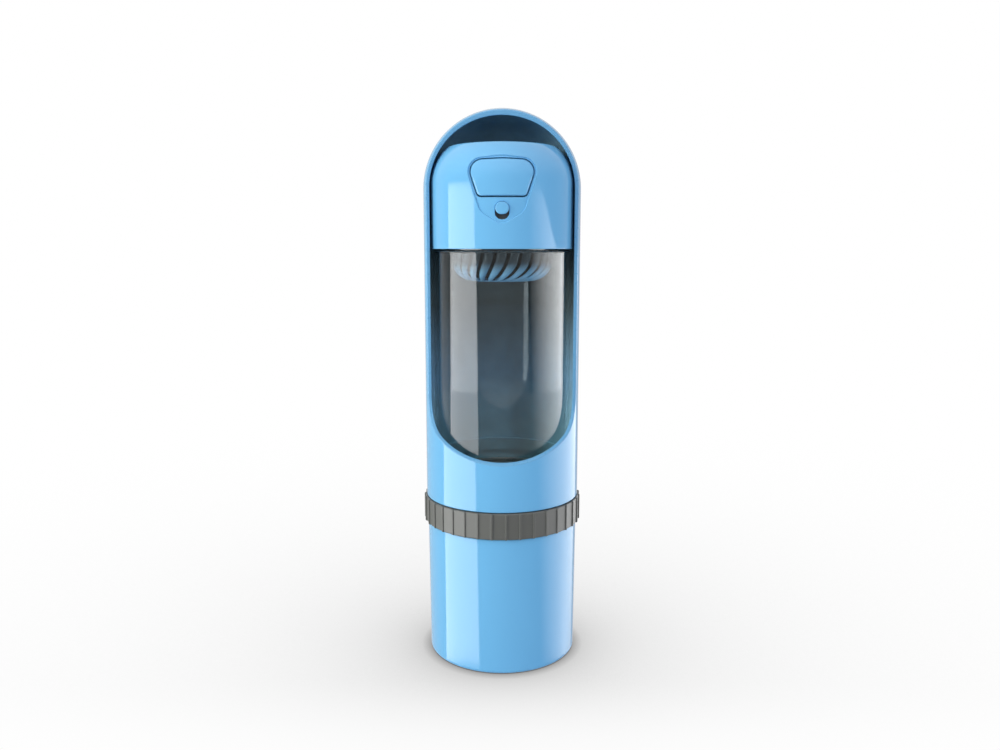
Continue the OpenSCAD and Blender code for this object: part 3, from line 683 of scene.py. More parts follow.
def centre_rows(circles, centre, ways, inset, grow):
    """Rows from a pad's centre out to its outline grown by grow, all at one inset."""
    reach = np.linspace(0, 1, 12)[:, None] * outline_reach(circles, centre, ways, grow)
    x, z = centre[0] + reach * ways[:, 0], centre[1] + reach * ways[:, 1]
    return on_head(x, z, inset)


def make_knob(context):
    """The lock knob: a small pad with a rounded edge that stands out from the recess, on a neck through the
    slot."""
    sizes = context.scene.button_sizes
    slot_z0, slot_z1 = slot_span(sizes)
    z1 = slot_z1 - 0.15 * MM
    circles = box_circles(sizes.knob_w / 2, z1 - sizes.knob_h, z1, 2.6 * MM)
    centre = (0, z1 - sizes.knob_h / 2)
    a = all_round(160)
    ways = np.stack([np.cos(a), np.sin(a)], -1)
    front = pad_rows(circles, centre, ways, -0.6 * MM, sizes.knob_edge)
    shoulder, foot, neck = 1.6 * MM, 2.45 * MM, -0.6 * MM
    rows = np.concatenate([
        front,
        [pad_ring(circles, centre, ways, 0, inset=shoulder), pad_ring(circles, centre, ways, neck, inset=shoulder),
         pad_ring(circles, centre, ways, neck, inset=foot)],
        centre_rows(circles, centre, ways, foot, neck)[-2::-1]])
    return make_piece("lock_knob", [Sheet(rows, close_cols=True)], [blue_abs()], "lock", ["lock_slider"],
                      "blue_abs")


def make_cup(context):
    """The food cup: a profile with a foot recess, a drafted side, a step in to the neck and a rounded floor,
    turned about Z."""
    sizes = context.scene.cup_sizes
    r, top = half_width("food_cup"), high("food_cup")
    base_r, neck_r, in_r = r - sizes.draft, r - 2.3 * MM, r - sizes.wall
    neck_in_r = neck_r - 1.9 * MM
    foot_r, foot_h, floor = base_r - 6 * MM, 0.8 * MM, 2.4 * MM
    under = sizes.height - 2.2 * MM
    fine, soft = 0.3 * MM, 3 * MM
    corners = [(0, foot_h, 0), (foot_r - foot_h, foot_h, fine), (foot_r, 0, fine), (base_r, 0, sizes.edge),
               (r, sizes.height, fine), (neck_r, sizes.height, fine), (neck_r, top, fine), (neck_in_r, top, fine),
               (neck_in_r, under, fine), (in_r, under - (in_r - neck_in_r), 2 * fine),
               (base_r - sizes.wall, floor, soft), (0, floor, 0)]
    sheet = Sheet(turned(rounded(corners, closed=False, steps=8), all_round(256)), close_cols=True)
    return make_piece("food_cup_body", [sheet], [blue_abs()], "cup", ["food_cup"], "blue_abs")


def make_tank(context):
    """The clear tank: one closed profile with its wall, foot, shoulder and neck, turned about Z."""
    r, z0, top = half_width("bottle"), low("bottle"), high("bottle")
    wall, neck_wall = 1.5 * MM, 2 * MM
    neck_r, foot_r = r - 6.1 * MM, r - 2.3 * MM
    foot_z, shoulder_z = z0 + 5.8 * MM, top - 11 * MM
    neck_in_r, in_r, foot_in_r = neck_r - neck_wall, r - wall, foot_r - wall
    step_z = foot_z + 0.4 * MM
    fine, thin = 0.3 * MM, 0.5 * MM
    corners = [(0, z0, 0), (foot_r, z0, 1 * MM), (foot_r, foot_z, fine), (r, foot_z, fine),
               (r, shoulder_z, 0.45 * MM), (neck_r, shoulder_z, 0.5 * MM), (neck_r, top, fine), (neck_in_r, top, fine),
               (neck_in_r, shoulder_z - thin, 0.3 * MM), (in_r, shoulder_z - thin, 0.4 * MM),
               (in_r, step_z + 2 * MM, 1 * MM), (foot_in_r, step_z, 1 * MM),
               (foot_in_r, z0 + wall, 3 * MM), (0, z0 + wall, 0)]
    sheet = Sheet(turned(rounded(corners, closed=False, steps=8), all_round(256)), close_cols=True)
    tank = make_piece("clear_tank", [sheet], [clear_copolyester()], "core", ["bottle"], "clear_copolyester")
    tank.visible_shadow = False
    return tank


def make_ring(context):
    """The twist ring: a closed profile turned about Z whose outer side follows a polygon, with a rib at each
    corner. The polygon's radius at angle a from the middle of a flat is R / cos a, and a rib adds a smooth
    bump across its width."""
    sizes = context.scene.ring_sizes
    r, z0, z1 = sizes.flats, low("grip_ring"), high("grip_ring")
    bore, groove, lip = 34 * MM, 35.1 * MM, 33.4 * MM
    groove_z1 = z1 - 1.6 * MM
    groove_z0 = groove_z1 - 2 * MM
    fine = 0.2 * MM
    corners = [(bore, z0, fine), (r, z0, sizes.edge), (r, z1, sizes.edge), (lip, z1, fine), (lip, groove_z1, fine),
               (groove, groove_z1, fine), (groove, groove_z0, fine), (bore, groove_z0, fine)]
    profile = rounded(corners, steps=7)
    pitch = TURN / sizes.ribs
    corner_r = r / math.cos(pitch / 2)
    rib = sizes.rib_w / 2 / r
    near = np.array([-1.25, -1.1, -1, -0.92, -0.8, -0.5, 0, 0.5, 0.8, 0.92, 1, 1.1, 1.25]) * rib
    between = np.linspace(1.25 * rib, pitch - 1.25 * rib, 7)[1:-1]
    local = np.concatenate([near, between])
    a = (np.arange(sizes.ribs)[:, None] * pitch + local).ravel()
    from_flat = (a % pitch) - pitch / 2
    bump = np.clip((1.12 - np.abs((a + pitch / 2) % pitch - pitch / 2) / rib) / 0.24, 0, 1)
    bump = bump * bump * (3 - 2 * bump)
    stand = r / np.cos(from_flat) - r + bump * (corner_r + sizes.rib_h - r / np.cos(from_flat))
    inner, outer = r - 1.6 * MM, r - sizes.edge
    share = np.clip((profile[:, :1] - inner) / (outer - inner), 0, 1)
    radius = profile[:, :1] + share * stand
    a = a + sizes.phase
    points = np.stack([radius * np.sin(a), -radius * np.cos(a), profile[:, 1:] + 0 * a], -1)
    return make_piece("twist_ring", [Sheet(points, close_rows=True, close_cols=True)], [grey_ring_abs()], "ring",
                      ["grip_ring"], "grey_ring", crease=50)


def cage_line(sizes, s):
    """Radius, height and outward normal on the cage's outside: straight down the side, then round the corner,
    with s from 0 at the band to 1 at the flat bottom."""
    z0 = low("filter_cage")
    band_z = high("bottle") - 11 * MM
    r = half_width("filter_cage")
    side, bend = band_z - (z0 + sizes.corner), sizes.corner * 1.6
    run = s * (side + bend)
    turn = np.clip((run - side) / bend, 0, 1.05) * math.pi / 2
    drop = np.minimum(run, side)
    radius = sizes.flat + (r - sizes.flat) * np.cos(turn)
    height = np.where(run <= side, band_z - drop, z0 + sizes.corner * (1 - np.sin(turn)))
    return radius, height, np.cos(turn), -np.sin(turn)


def make_cage(context):
    """The filter cage: a plain band, a flat bottom and swirl ribs between them. A rib is a rounded section
    carried down the cage's outside while it turns by swirl times s to the power 1.7."""
    sizes = context.scene.filter_sizes
    z0, top, r = low("filter_cage"), high("filter_cage"), half_width("filter_cage")
    band_z = high("bottle") - 11 * MM
    fine = 0.3 * MM
    band = rounded([(r, band_z - 0.8 * MM, fine), (r, top, fine), (r - sizes.wall, top, fine),
                    (r - sizes.wall, band_z - 0.8 * MM, fine)], steps=4)
    floor_r = sizes.flat + 0.2 * MM
    floor_h = 0.6 * MM
    floor = rounded([(0, z0, 0), (floor_r, z0, 0.25 * MM), (floor_r, z0 + floor_h, 0.1 * MM),
                     (0, z0 + floor_h, 0)], closed=False, steps=5)
    sheets = [Sheet(turned(band, all_round(192)), close_rows=True, close_cols=True),
              Sheet(turned(floor, all_round(192)), close_cols=True)]
    half = math.pi / sizes.ribs * sizes.share
    depth = sizes.wall - 0.6 * MM
    side = np.linspace(-1, 1, 15)
    front = 0.05 * MM + 0.95 * MM * np.abs(side) ** 2.6
    section = np.concatenate([np.stack([side, front], -1), [[1, depth], [-1, depth]]])
    s = np.linspace(-0.05, 1.04, 44)[:, None]
    radius, height, out_r, out_z = cage_line(sizes, s)
    reach = radius - out_r * section[:, 1]
    level = height - out_z * section[:, 1]
    swirl = sizes.swirl * np.maximum(s, 0) ** 1.7
    taper = 1.08 - 0.28 * np.maximum(s, 0) ** 1.5
    for k in range(sizes.ribs):
        a = -swirl + half * taper * section[:, 0] + k * TURN / sizes.ribs
        grid = np.stack([reach * np.cos(a), reach * np.sin(a), level + 0 * a], -1)
        ends = [np.repeat(grid[i].mean(0)[None, None], grid.shape[1], 1) for i in (0, -1)]
        sheets.append(Sheet(np.concatenate([ends[0], grid, ends[1]]), close_cols=True))
    return make_piece("swirl_cage", sheets, [blue_cage()], "core", ["filter_cage"], "blue_cage", crease=50)


def make_spring(context):
    """The valve's spring: a round wire wound into a helix, whose centre line is (R cos a, R sin a, z) with z
    rising evenly from end to end. It stands on the valve and shortens as the valve lifts."""
    foot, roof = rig.box("valve_spring")
    wire, turns, travel = 0.32 * MM, 5, 3 * MM
    a = np.linspace(0, turns * TURN, turns * 24 + 1)[:, None]
    b = all_round(10)
    climb = np.linspace(foot.z + wire, roof.z - wire, len(a))[:, None]
    reach = roof.x - wire + wire * np.cos(b)
    grid = np.stack([reach * np.cos(a), reach * np.sin(a), climb + wire * np.sin(b)], -1)
    ends = [np.repeat(grid[i].mean(0)[None, None], grid.shape[1], 1) for i in (0, -1)]
    sheet = Sheet(np.concatenate([ends[0], grid, ends[1]]), close_cols=True)
    spring = make_piece("valve_spring_wire", [sheet], [steel_wire()], "valve", ["valve_spring"], "steel")
    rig.squash(spring, "valve_lift", axis=(0, 0, 1), anchor=(0, 0, foot.z), keep=1 - travel / (roof.z - foot.z))
    return spring


def new_material(name):
    """An empty node material with its output, or the one that already has this name."""
    material = bpy.data.materials.get(name)
    if material:
        return material, None
    material = bpy.data.materials.new(name)
    material.use_nodes = True
    material.node_tree.nodes.clear()
    return material, material.node_tree


def add(tree, kind, inputs=(), **settings):
    """Adds one shader node with its settings; an input takes a value or another node's output."""
    node = tree.nodes.new(kind)
    for name, value in settings.items():
        setattr(node, name, value)
    for name, value in dict(inputs).items():
        socket = node.inputs[name]
        if isinstance(value, bpy.types.NodeSocket):
            tree.links.new(value, socket)
        else:
            socket.default_value = value
    return node


def noise(tree, size, detail=2.0):
    """Noise whose blobs are about the given real size, on object coordinates."""
    place = add(tree, "ShaderNodeTexCoord").outputs["Object"]
    return add(tree, "ShaderNodeTexNoise", {"Vector": place, "Scale": 1 / size, "Detail": detail}).outputs["Fac"]


def spread(tree, value, low_to, high_to):
    """Maps the noise's middle range to two values."""
    return add(tree, "ShaderNodeMapRange", {"Value": value, "From Min": 0.3, "From Max": 0.7, "To Min": low_to,
                                            "To Max": high_to}).outputs["Result"]


def tinted(tree, value, colour_value, depth):
    """A colour that drifts by a small share of itself with the given noise."""
    darker = tuple(c * (1 - depth) for c in colour_value) + (1,)
    return add(tree, "ShaderNodeMix", {"Factor": value, "A": darker, "B": tuple(colour_value) + (1,)},
               data_type="RGBA").outputs["Result"]


def bump(tree, height, distance, strength=1.0):
    """A bump from a height field."""
    return add(tree, "ShaderNodeBump", {"Height": height, "Distance": distance,
                                        "Strength": strength}).outputs["Normal"]


def plastic(name, colour_value, roughness, grain, depth, drift=0.03, **extra):
    """Moulded plastic: a slightly drifting colour, roughness that varies a little, and a fine mould grain."""
    material, tree = new_material(name)
    if tree is None:
        return material
    slow = noise(tree, 22 * MM)
    fine = noise(tree, grain, 3)
    inputs = {"Base Color": tinted(tree, slow, colour_value, drift),
              "Roughness": spread(tree, fine, roughness * 0.85, roughness * 1.15),
              "Normal": bump(tree, fine, depth)}
    inputs.update(extra)
    shader = add(tree, "ShaderNodeBsdfPrincipled", inputs)
    add(tree, "ShaderNodeOutputMaterial", {"Surface": shader.outputs["BSDF"]})
    return material


def blue_abs():
    """ABS moulded in a polished tool: an even glossy blue, with sharp soft-box reflections that waver
    slightly over the slow ripples of the moulding."""
    return plastic("abs_moulded_blue", bpy.context.scene.colours.body, 0.07, 9 * MM, 0.01 * MM,
                   **{"IOR": 1.54})


# Painted light and shade of the trough's inside: colour stops by share of the trough's height.
PAINTED_SHADE_STOPS = [(0.08, "#B8ECFF"), (0.3, "#98C8F0"), (0.5, "#6E8088"), (0.92, "#98C4D8"), (1.0, "#5A7888")]


def painted_shade_inside():
    """ABS moulded against a textured core: the trough's inside is dull. It is a light blue at the foot of the
    window and deepens to a slate grey up behind the head, where the texture is coarser."""
    material, tree = new_material("abs_inside_painted_shade")
    if tree is None:
        return material
    place = add(tree, "ShaderNodeTexCoord").outputs["Object"]
    height = add(tree, "ShaderNodeSeparateXYZ", {"Vector": place}).outputs["Z"]
    share = add(tree, "ShaderNodeMapRange", {"Value": height, "From Min": low("trough_shell"),
                                             "From Max": high("trough_shell")}).outputs["Result"]
    ramp = add(tree, "ShaderNodeValToRGB", {"Fac": share})
    stops = ramp.color_ramp.elements
    for place_at, _ in PAINTED_SHADE_STOPS[1:-1]:
        stops.new(place_at)
    for stop, (place_at, value) in zip(stops, PAINTED_SHADE_STOPS):
        stop.position = place_at
        stop.color = linear(value)
    slow = noise(tree, 8 * MM, 3)
    painted_shade_tone = add(tree, "ShaderNodeMix", {"Factor": spread(tree, slow, 0, 0.2), "A": ramp.outputs["Color"],
                                       "B": linear("#4A5A64")}, data_type="RGBA").outputs["Result"]
    shader = add(tree, "ShaderNodeBsdfPrincipled", {
        "Base Color": painted_shade_tone, "Roughness": spread(tree, slow, 0.6, 0.75), "IOR": 1.54, "Specular IOR Level": 0.25,
        "Normal": bump(tree, slow, 0.004 * MM)})
    add(tree, "ShaderNodeOutputMaterial", {"Surface": shader.outputs["BSDF"]})
    return material


def painted_shade_rim():
    """The trough's rim, trimmed and scraped after moulding: a deeper blue with a satin sheen."""
    return plastic("abs_rim_blue_painted_shade", bpy.context.scene.colours.rim, 0.3, 2 * MM, 0.004 * MM,
                   **{"IOR": 1.54})


def blue_cage():
    """Polypropylene cage, moulded thin: a clear blue with soft highlights on each rib, which greys towards the
    top, where the black carbon block stands close behind the ribs and shows through."""
    material, tree = new_material("polypropylene_blue_painted_shade")
    if tree is None:
        return material
    clear_blue = tuple(bpy.context.scene.colours.cage) + (1,)
    place = add(tree, "ShaderNodeTexCoord").outputs["Object"]
    height = add(tree, "ShaderNodeSeparateXYZ", {"Vector": place}).outputs["Z"]
    z0 = low("filter_cage")
    # Painted shade: 0 up to 2 mm above the cage's foot and 1 from 9.5 mm up, where the ribs are painted the dark slate
    # grey #3A454D of the head's shade.
    behind = add(tree, "ShaderNodeMapRange", {"Value": height, "From Min": z0 + 2 * MM,
                                              "From Max": z0 + 9.5 * MM, "To Min": 0.0, "To Max": 1.0},
                 interpolation_type="SMOOTHSTEP").outputs["Result"]
    painted_shade_tone = add(tree, "ShaderNodeMix", {"Factor": behind, "A": clear_blue, "B": linear("#3A454D")},
               data_type="RGBA").outputs["Result"]
    fine = noise(tree, 2 * MM, 3)
    shader = add(tree, "ShaderNodeBsdfPrincipled", {
        "Base Color": painted_shade_tone, "Roughness": spread(tree, fine, 0.18, 0.26), "IOR": 1.5,
        "Normal": bump(tree, fine, 0.01 * MM)})
    add(tree, "ShaderNodeOutputMaterial", {"Surface": shader.outputs["BSDF"]})
    return material


def grey_ring_abs():
    """ABS moulded in a spark-eroded tool: a satin dark grey whose ribs catch soft edge lights."""
    return plastic("abs_spark_textured_grey", bpy.context.scene.colours.ring, 0.38, 0.5 * MM, 0.015 * MM,
                   **{"IOR": 1.54})


def clear_copolyester():
    """Blow-moulded copolyester: clear with a faint cool tint, a sharp gloss and slow ripples in the wall."""
    material, tree = new_material("copolyester_blow_moulded_clear")
    if tree is None:
        return material
    ripple = noise(tree, 14 * MM, 1)
    shader = add(tree, "ShaderNodeBsdfPrincipled", {
        "Base Color": linear("#D4DCDF"), "Roughness": 0.02, "IOR": 1.54, "Transmission Weight": 1.0,
        "Normal": bump(tree, ripple, 0.01 * MM)})
    add(tree, "ShaderNodeOutputMaterial", {"Surface": shader.outputs["BSDF"]})
    return material


INNER_FINISHES = {
    "base_collar": ("abs_moulded_mid_grey", "#8E8F8E", 0.35, 0.5),
    "cup_gasket": ("silicone_moulded_grey", "#3A3D3F", 0.55, 0.4),
    "neck_gasket": ("silicone_moulded_grey", "#3A3D3F", 0.55, 0.4),
    # Painted light: the sleeve seal sits in shade at the foot of the window, and its pale grey, paler than the other
    # silicone parts, stands in for light on it.
    "sleeve_seal": ("silicone_pale_grey_painted_light", "#DAD8D2", 0.55, 0.4),
    "air_vent_valve": ("silicone_moulded_grey", "#3A3D3F", 0.55, 0.4),
    "stem_oring": ("silicone_moulded_grey", "#3A3D3F", 0.55, 0.4),
    "valve_disc": ("silicone_moulded_grey", "#3A3D3F", 0.55, 0.4),
    "outlet_spout": ("silicone_moulded_grey", "#3A3D3F", 0.55, 0.4),
    "head_insert": ("polypropylene_moulded_white", "#DADEDF", 0.3, 0.8),
    "valve_body": ("polypropylene_moulded_white", "#DADEDF", 0.3, 0.8),
    "valve_cap": ("polypropylene_moulded_white", "#DADEDF", 0.3, 0.8),
    "valve_stem": ("polypropylene_moulded_white", "#DADEDF", 0.3, 0.8),
    "push_fork": ("polypropylene_moulded_white", "#DADEDF", 0.3, 0.8),
    # Painted shade: the lock plate behind the slot is given a dark grey, so that the slot reads as dark as the shade in
    # it.
    "lock_plate": ("abs_dark_grey_painted_shade", "#4A4C4D", 0.35, 0.5),
    "carbon_filter": ("carbon_felt_needled", "#2A2725", 0.9, 0.6),
    "filter_sponge": ("sponge_open_cell", "#D9D8CF", 0.9, 0.8),
    # The stop collar shares the trough inside's material, painted shade included; as that material already exists, this
    # colour and roughness are not used.
    "stop_collar": ("abs_inside_painted_shade", "#8AB4CC", 0.45, 1.2),
}


def dress_inner_parts(context):
    """Gives each CAD node that stays in view the finish of its real material."""
    for node, (name, value, roughness, grain) in INNER_FINISHES.items():
        material = plastic(name, linear(value)[:3], roughness, grain * MM, 0.02 * MM)
        paint(node, material)
    paint("cap_screws", steel_wire())


def paint(node, material):
    """Puts a material in every slot of a CAD node."""
    part = frame["nodes"][node]
    if not part.material_slots:
        part.data.materials.append(material)
    for slot in part.material_slots:
        slot.material = material


def steel_wire():
    """Stainless steel, drawn and turned: bright metal with a fine brushed roughness."""
    material, tree = new_material("stainless_steel_drawn")
    if tree is None:
        return material
    fine = noise(tree, 0.3 * MM)
    shader = add(tree, "ShaderNodeBsdfPrincipled", {"Base Color": linear("#B9BBBD"), "Metallic": 1.0,
                                                    "Roughness": spread(tree, fine, 0.22, 0.34)})
    add(tree, "ShaderNodeOutputMaterial", {"Surface": shader.outputs["BSDF"]})
    return material


def set_camera(scene):
    """The photograph's view: level with the neck, a little from above, on the front middle plane."""
    camera = bpy.data.objects.new("camera", bpy.data.cameras.new("camera"))
    scene.collection.objects.link(camera)
    camera.data.sensor_width = 36
    camera.data.lens = 30.6
    camera.data.shift_x = -0.0021
    camera.data.clip_start = 0.01
    camera.location = (0, -0.4033, 0.194)
    camera.rotation_euler = (math.radians(90 - 8.4), 0, 0)
    scene.camera = camera


def soft_panel(scene, name, columns):
    """A glowing panel bent round the object at a fixed distance, seen only in reflections: straight through
    the clear tank it is as white as the background. Each column gives the azimuth in degrees from the front
    towards +X, the height and the glow of its upper end, then the azimuth and the glow of its lower end."""
    distance, foot = 0.9, -0.46
    given = np.array(columns, float)
    share = np.linspace(0, len(given) - 1, 49)
    top_a, top_z, top_glow, low_a, low_glow = (np.interp(share, np.arange(len(given)), c) for c in given.T)
    up = np.linspace(0, 1, 9)[:, None]
    a = np.radians(low_a + (top_a - low_a) * up)
    points = np.stack([distance * np.sin(a), -distance * np.cos(a), foot + (top_z - foot) * up], -1)
    mesh = bpy.data.meshes.new(name)
    mesh.from_pydata(points.reshape(-1, 3).tolist(), [], grid_faces(Sheet(points)).tolist())
    glow = mesh.attributes.new("glow", "FLOAT", "POINT")
    glow.data.foreach_set("value", (low_glow + (top_glow - low_glow) * up).ravel().astype(np.float32))
    material, tree = new_material(name)
    level = add(tree, "ShaderNodeAttribute", attribute_name="glow").outputs["Fac"]
    path = add(tree, "ShaderNodeLightPath").outputs
    straight = add(tree, "ShaderNodeMath", {0: path["Is Transmission Ray"], 1: path["Glossy Depth"]},
                   operation="GREATER_THAN").outputs[0]
    level = add(tree, "ShaderNodeMix", {"Factor": straight, "A": level, "B": 1.0}).outputs["Result"]
    light = add(tree, "ShaderNodeEmission", {"Color": (1, 1, 1, 1), "Strength": level}).outputs[0]
    add(tree, "ShaderNodeOutputMaterial", {"Surface": light})
    mesh.materials.append(material)
    panel = bpy.data.objects.new(name, mesh)
    scene.collection.objects.link(panel)
    panel.visible_camera = False
    panel.visible_diffuse = False
    panel.visible_shadow = False
    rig.stage(panel)


def round_place(azimuth, distance, height):
    """A place at an azimuth in degrees from the front towards +X."""
    a = math.radians(azimuth)
    return (distance * math.sin(a), -distance * math.cos(a), height)


def area_light(scene, name, place, target, size, radiance, tint=(1, 1, 1)):
    """A soft box of the given width and height that faces a point and isn't seen in reflections. Radiance
    times pi times area is watts."""
    lamp = bpy.data.lights.new(name, "AREA")
    lamp.color = tint
    lamp.shape = "RECTANGLE"
    lamp.size, lamp.size_y = size
    lamp.energy = radiance * math.pi * size[0] * size[1]
    light = bpy.data.objects.new(name, lamp)
    scene.collection.objects.link(light)
    way = np.array(target) - np.array(place)
    light.location = place
    light.rotation_euler = (math.atan2(math.hypot(way[0], way[1]), -way[2]), 0,
                            math.atan2(way[1], way[0]) - math.pi / 2)
    light.visible_camera = False
    light.visible_glossy = False
    light.visible_transmission = False


def set_world(scene):
    """White wherever the camera looks past the object or straight through its clear wall. Matt surfaces see an
    even studio, glossy ones see it dark in front, brighter behind and bright overhead, and the inside of the
    clear wall mirrors a grey one."""
    matt, front, behind, zenith, inner_glint = 0.33, 0.05, 0.65, 1.1, 0.62
    world = bpy.data.worlds.new("studio")
    scene.world = world
    world.use_nodes = True
    tree = world.node_tree
    tree.nodes.clear()
    way = add(tree, "ShaderNodeTexCoord").outputs["Generated"]
    axes = add(tree, "ShaderNodeSeparateXYZ", {"Vector": way}).outputs
    back = add(tree, "ShaderNodeMapRange", {"Value": axes["Y"], "From Min": -0.3, "From Max": 0.8,
                                            "To Min": front, "To Max": behind},
               interpolation_type="SMOOTHSTEP").outputs["Result"]
    above = add(tree, "ShaderNodeMapRange", {"Value": axes["Z"], "From Min": 0.1, "From Max": 0.9, "To Min": 0.0,
                                             "To Max": 1.0}, interpolation_type="SMOOTHSTEP").outputs["Result"]
    room = add(tree, "ShaderNodeMix", {"Factor": above, "A": back, "B": zenith}).outputs["Result"]
    path = add(tree, "ShaderNodeLightPath").outputs
    level = add(tree, "ShaderNodeMix", {"Factor": path["Is Glossy Ray"], "A": matt, "B": room}).outputs["Result"]
    level = add(tree, "ShaderNodeMix", {"Factor": path["Is Transmission Ray"], "A": level,
                                        "B": inner_glint}).outputs["Result"]
    straight = add(tree, "ShaderNodeMath", {0: path["Is Transmission Ray"], 1: path["Glossy Depth"]},
                   operation="GREATER_THAN").outputs[0]
    seen = add(tree, "ShaderNodeMath", {0: path["Is Camera Ray"], 1: straight}, operation="MAXIMUM").outputs[0]
    level = add(tree, "ShaderNodeMix", {"Factor": seen, "A": level, "B": 1.0}).outputs["Result"]
    light = add(tree, "ShaderNodeBackground", {"Color": (1, 1, 1, 1), "Strength": level})
    add(tree, "ShaderNodeOutputWorld", {"Surface": light.outputs[0]})


def make_floor(scene):
    """A flat round floor. To the camera it is white, shaded by how much of the sky the object hides from each
    place, which is the soft shadow of an even studio light, and it fades into the white background. Other
    rays see it matt."""
    radius, matt_level, shade_reach = 0.8, 0.7, 0.6
    reach = np.linspace(0, radius, 9)[:, None]
    a = all_round(64)
    points = np.stack([reach * np.sin(a), reach * np.cos(a), 0 * reach * a - 0.02 * MM], -1)
    mesh = bpy.data.meshes.new("floor")
    sheet = Sheet(points[1:], close_cols=True)
    centre = len(sheet.points.reshape(-1, 3))
    fan = [[(k + 1) % len(a), k, centre] for k in range(len(a))]
    mesh.from_pydata(sheet.points.reshape(-1, 3).tolist() + [[0, 0, -0.02 * MM]], [],
                     grid_faces(sheet).tolist() + fan)
    floor = bpy.data.objects.new("floor", mesh)
    scene.collection.objects.link(floor)
    material, tree = new_material("studio_floor")
    matt = add(tree, "ShaderNodeBsdfDiffuse", {"Color": (matt_level,) * 3 + (1,)}).outputs[0]
    path = add(tree, "ShaderNodeLightPath").outputs
    seen = add(tree, "ShaderNodeMath", {0: path["Is Camera Ray"], 1: path["Is Transmission Ray"]},
               operation="MAXIMUM").outputs[0]
    shade = add(tree, "ShaderNodeAmbientOcclusion", {"Distance": shade_reach}, samples=16).outputs["AO"]
    place = add(tree, "ShaderNodeTexCoord").outputs["Object"]
    far = add(tree, "ShaderNodeVectorMath", {0: place}, operation="LENGTH").outputs["Value"]
    fade = add(tree, "ShaderNodeMapRange", {"Value": far, "From Min": 0.15, "From Max": 0.75, "To Min": 0.0,
                                            "To Max": 1.0}, interpolation_type="SMOOTHSTEP").outputs["Result"]
    ahead = add(tree, "ShaderNodeSeparateXYZ", {"Vector": place}).outputs["Y"]
    # Painted light: the floor's shadow fades out in front of the object, by up to 0.7 at 10 cm ahead, as if lit from
    # the front above.
    lit = add(tree, "ShaderNodeMapRange", {"Value": ahead, "From Min": -0.035, "From Max": -0.1, "To Min": 0.0,
                                           "To Max": 0.7}, interpolation_type="SMOOTHSTEP").outputs["Result"]
    fade = add(tree, "ShaderNodeMath", {0: fade, 1: lit}, operation="MAXIMUM").outputs[0]
    # Painted shadow: a darker ring just round the cup's foot, a painted contact shadow.
    near = add(tree, "ShaderNodeMapRange", {"Value": far, "From Min": 0.035, "From Max": 0.04, "To Min": 0.7,
                                            "To Max": 1.0}).outputs["Result"]
    shade = add(tree, "ShaderNodeMath", {0: shade, 1: near}, operation="MULTIPLY").outputs[0]
    level = add(tree, "ShaderNodeMix", {"Factor": fade, "A": shade, "B": 1.0}).outputs["Result"]
    white = add(tree, "ShaderNodeEmission", {"Color": (1, 1, 1, 1), "Strength": level}).outputs[0]
    surface = add(tree, "ShaderNodeMixShader", {0: seen, 1: matt, 2: white}).outputs[0]
    add(tree, "ShaderNodeOutputMaterial", {"Surface": surface})
    mesh.materials.append(material)
    floor.visible_glossy = False
    floor.visible_shadow = False
    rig.stage(floor)


def piece_operator(key, label, text, build):
    """An operator that makes one piece and raises an error if it can't."""
    def execute(self, context):
        build(context)
        return {"FINISHED"}
    return type("BOTTLE_OT_" + key, (bpy.types.Operator,), {
        "__doc__": text, "bl_idname": "bottle." + key, "bl_label": label, "execute": execute})


def make_stage(context):
    """The camera, the floor, the world and the soft boxes."""
    scene = context.scene
    scene.view_settings.view_transform = "Standard"
    set_camera(scene)
    set_world(scene)
    make_floor(scene)
    soft_panel(scene, "left_soft_box", [(-92, 0.288, 4.3, -99, 4.3), (-43.6, 0.288, 3.8, -35.5, 3.8)])
    soft_panel(scene, "right_soft_box", [
        (40, 0.28, 0, 62, 0), (54, 0.28, 1.2, 75, 1.0), (67, 0.27, 2.4, 87, 1.8), (82, 0.225, 3.4, 100, 2.3),
        (96.5, 0.19, 3.8, 110, 2.6), (107, 0.19, 4, 117, 2.6), (119, 0.19, 4.5, 124, 2.2),
        (134, 0.19, 4.5, 134, 1.6), (146, 0.19, 4, 145, 1.2)])
    middle = (0, 0, 0.15)
    area_light(scene, "left_key", round_place(-65, 1.0, 0.55), middle, (0.8, 0.8), 5.7, (1, 1, 0.86))
    area_light(scene, "right_fill", round_place(70, 1.0, 0.45), middle, (0.8, 0.8), 1.8)
    area_light(scene, "upper_front_fill", round_place(0, 0.9, 1.05), middle, (0.8, 0.6), 1.9)
    area_light(scene, "low_front_fill", round_place(0, 1.1, 0.27), middle, (0.8, 0.54), 1.1)
    area_light(scene, "back_fill", round_place(180, 1.1, 0.6), middle, (0.8, 0.8), 2.6)


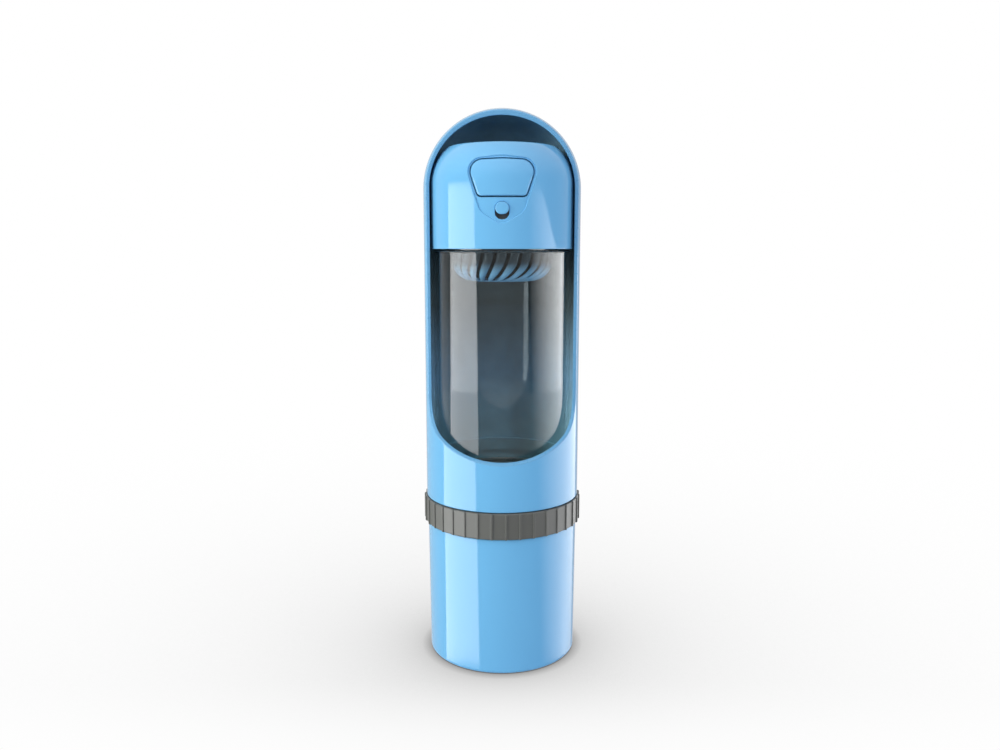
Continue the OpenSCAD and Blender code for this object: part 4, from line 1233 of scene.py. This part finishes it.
PIECES = [
    ("stage", "Stage", "Adds the camera, the floor and the studio light", make_stage),
    ("trough", "Trough", "Makes the hooded sliding trough", make_trough),
    ("head", "Head", "Makes the head with its recess and holes", make_head),
    ("button", "Button", "Makes the water button", make_button),
    ("knob", "Lock knob", "Makes the lock knob", make_knob),
    ("cup", "Cup", "Makes the food cup", make_cup),
    ("tank", "Tank", "Makes the clear tank", make_tank),
    ("ring", "Ring", "Makes the ribbed twist ring", make_ring),
    ("cage", "Cage", "Makes the swirl-ribbed filter cage", make_cage),
    ("spring", "Valve spring", "Makes the valve's spring", make_spring),
    ("inner", "Inner parts", "Gives the inner parts their finishes", dress_inner_parts),
]
OPERATORS = [piece_operator(*entry) for entry in PIECES]
GROUPS = {"trough_sizes": TroughSizes, "head_sizes": HeadSizes, "button_sizes": ButtonSizes,
          "cup_sizes": CupSizes, "ring_sizes": RingSizes, "filter_sizes": FilterSizes, "colours": Colours}


class BOTTLE_PT_panel(bpy.types.Panel):
    """Lists the sizes and the pieces."""
    bl_label = "Travel Bottle"
    bl_space_type = "VIEW_3D"
    bl_region_type = "UI"
    bl_category = "Travel Bottle"

    def draw(self, context):
        for name, group in GROUPS.items():
            box = self.layout.box()
            for key in group.__annotations__:
                box.prop(getattr(context.scene, name), key)
        for operator in OPERATORS:
            self.layout.operator(operator.bl_idname)


CLASSES = list(GROUPS.values()) + OPERATORS + [BOTTLE_PT_panel]


def register():
    """Registers the classes and puts the sizes on the scene."""
    for cls in CLASSES:
        bpy.utils.register_class(cls)
    for name, group in GROUPS.items():
        setattr(bpy.types.Scene, name, PointerProperty(type=group))


def unregister():
    """Takes the sizes and the classes away again."""
    for name in GROUPS:
        delattr(bpy.types.Scene, name)
    for cls in reversed(CLASSES):
        bpy.utils.unregister_class(cls)


def main():
    """Registers the add-on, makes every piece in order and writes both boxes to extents.json."""
    register()
    for key, *_ in PIECES:
        getattr(bpy.ops.bottle, key)()
    visual = [list(corner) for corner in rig.bounds()]
    with open("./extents.json", "w") as out:
        json.dump({"cad": CAD_BOUNDS, "visual": visual}, out)


if __name__ == "__main__":
    main()
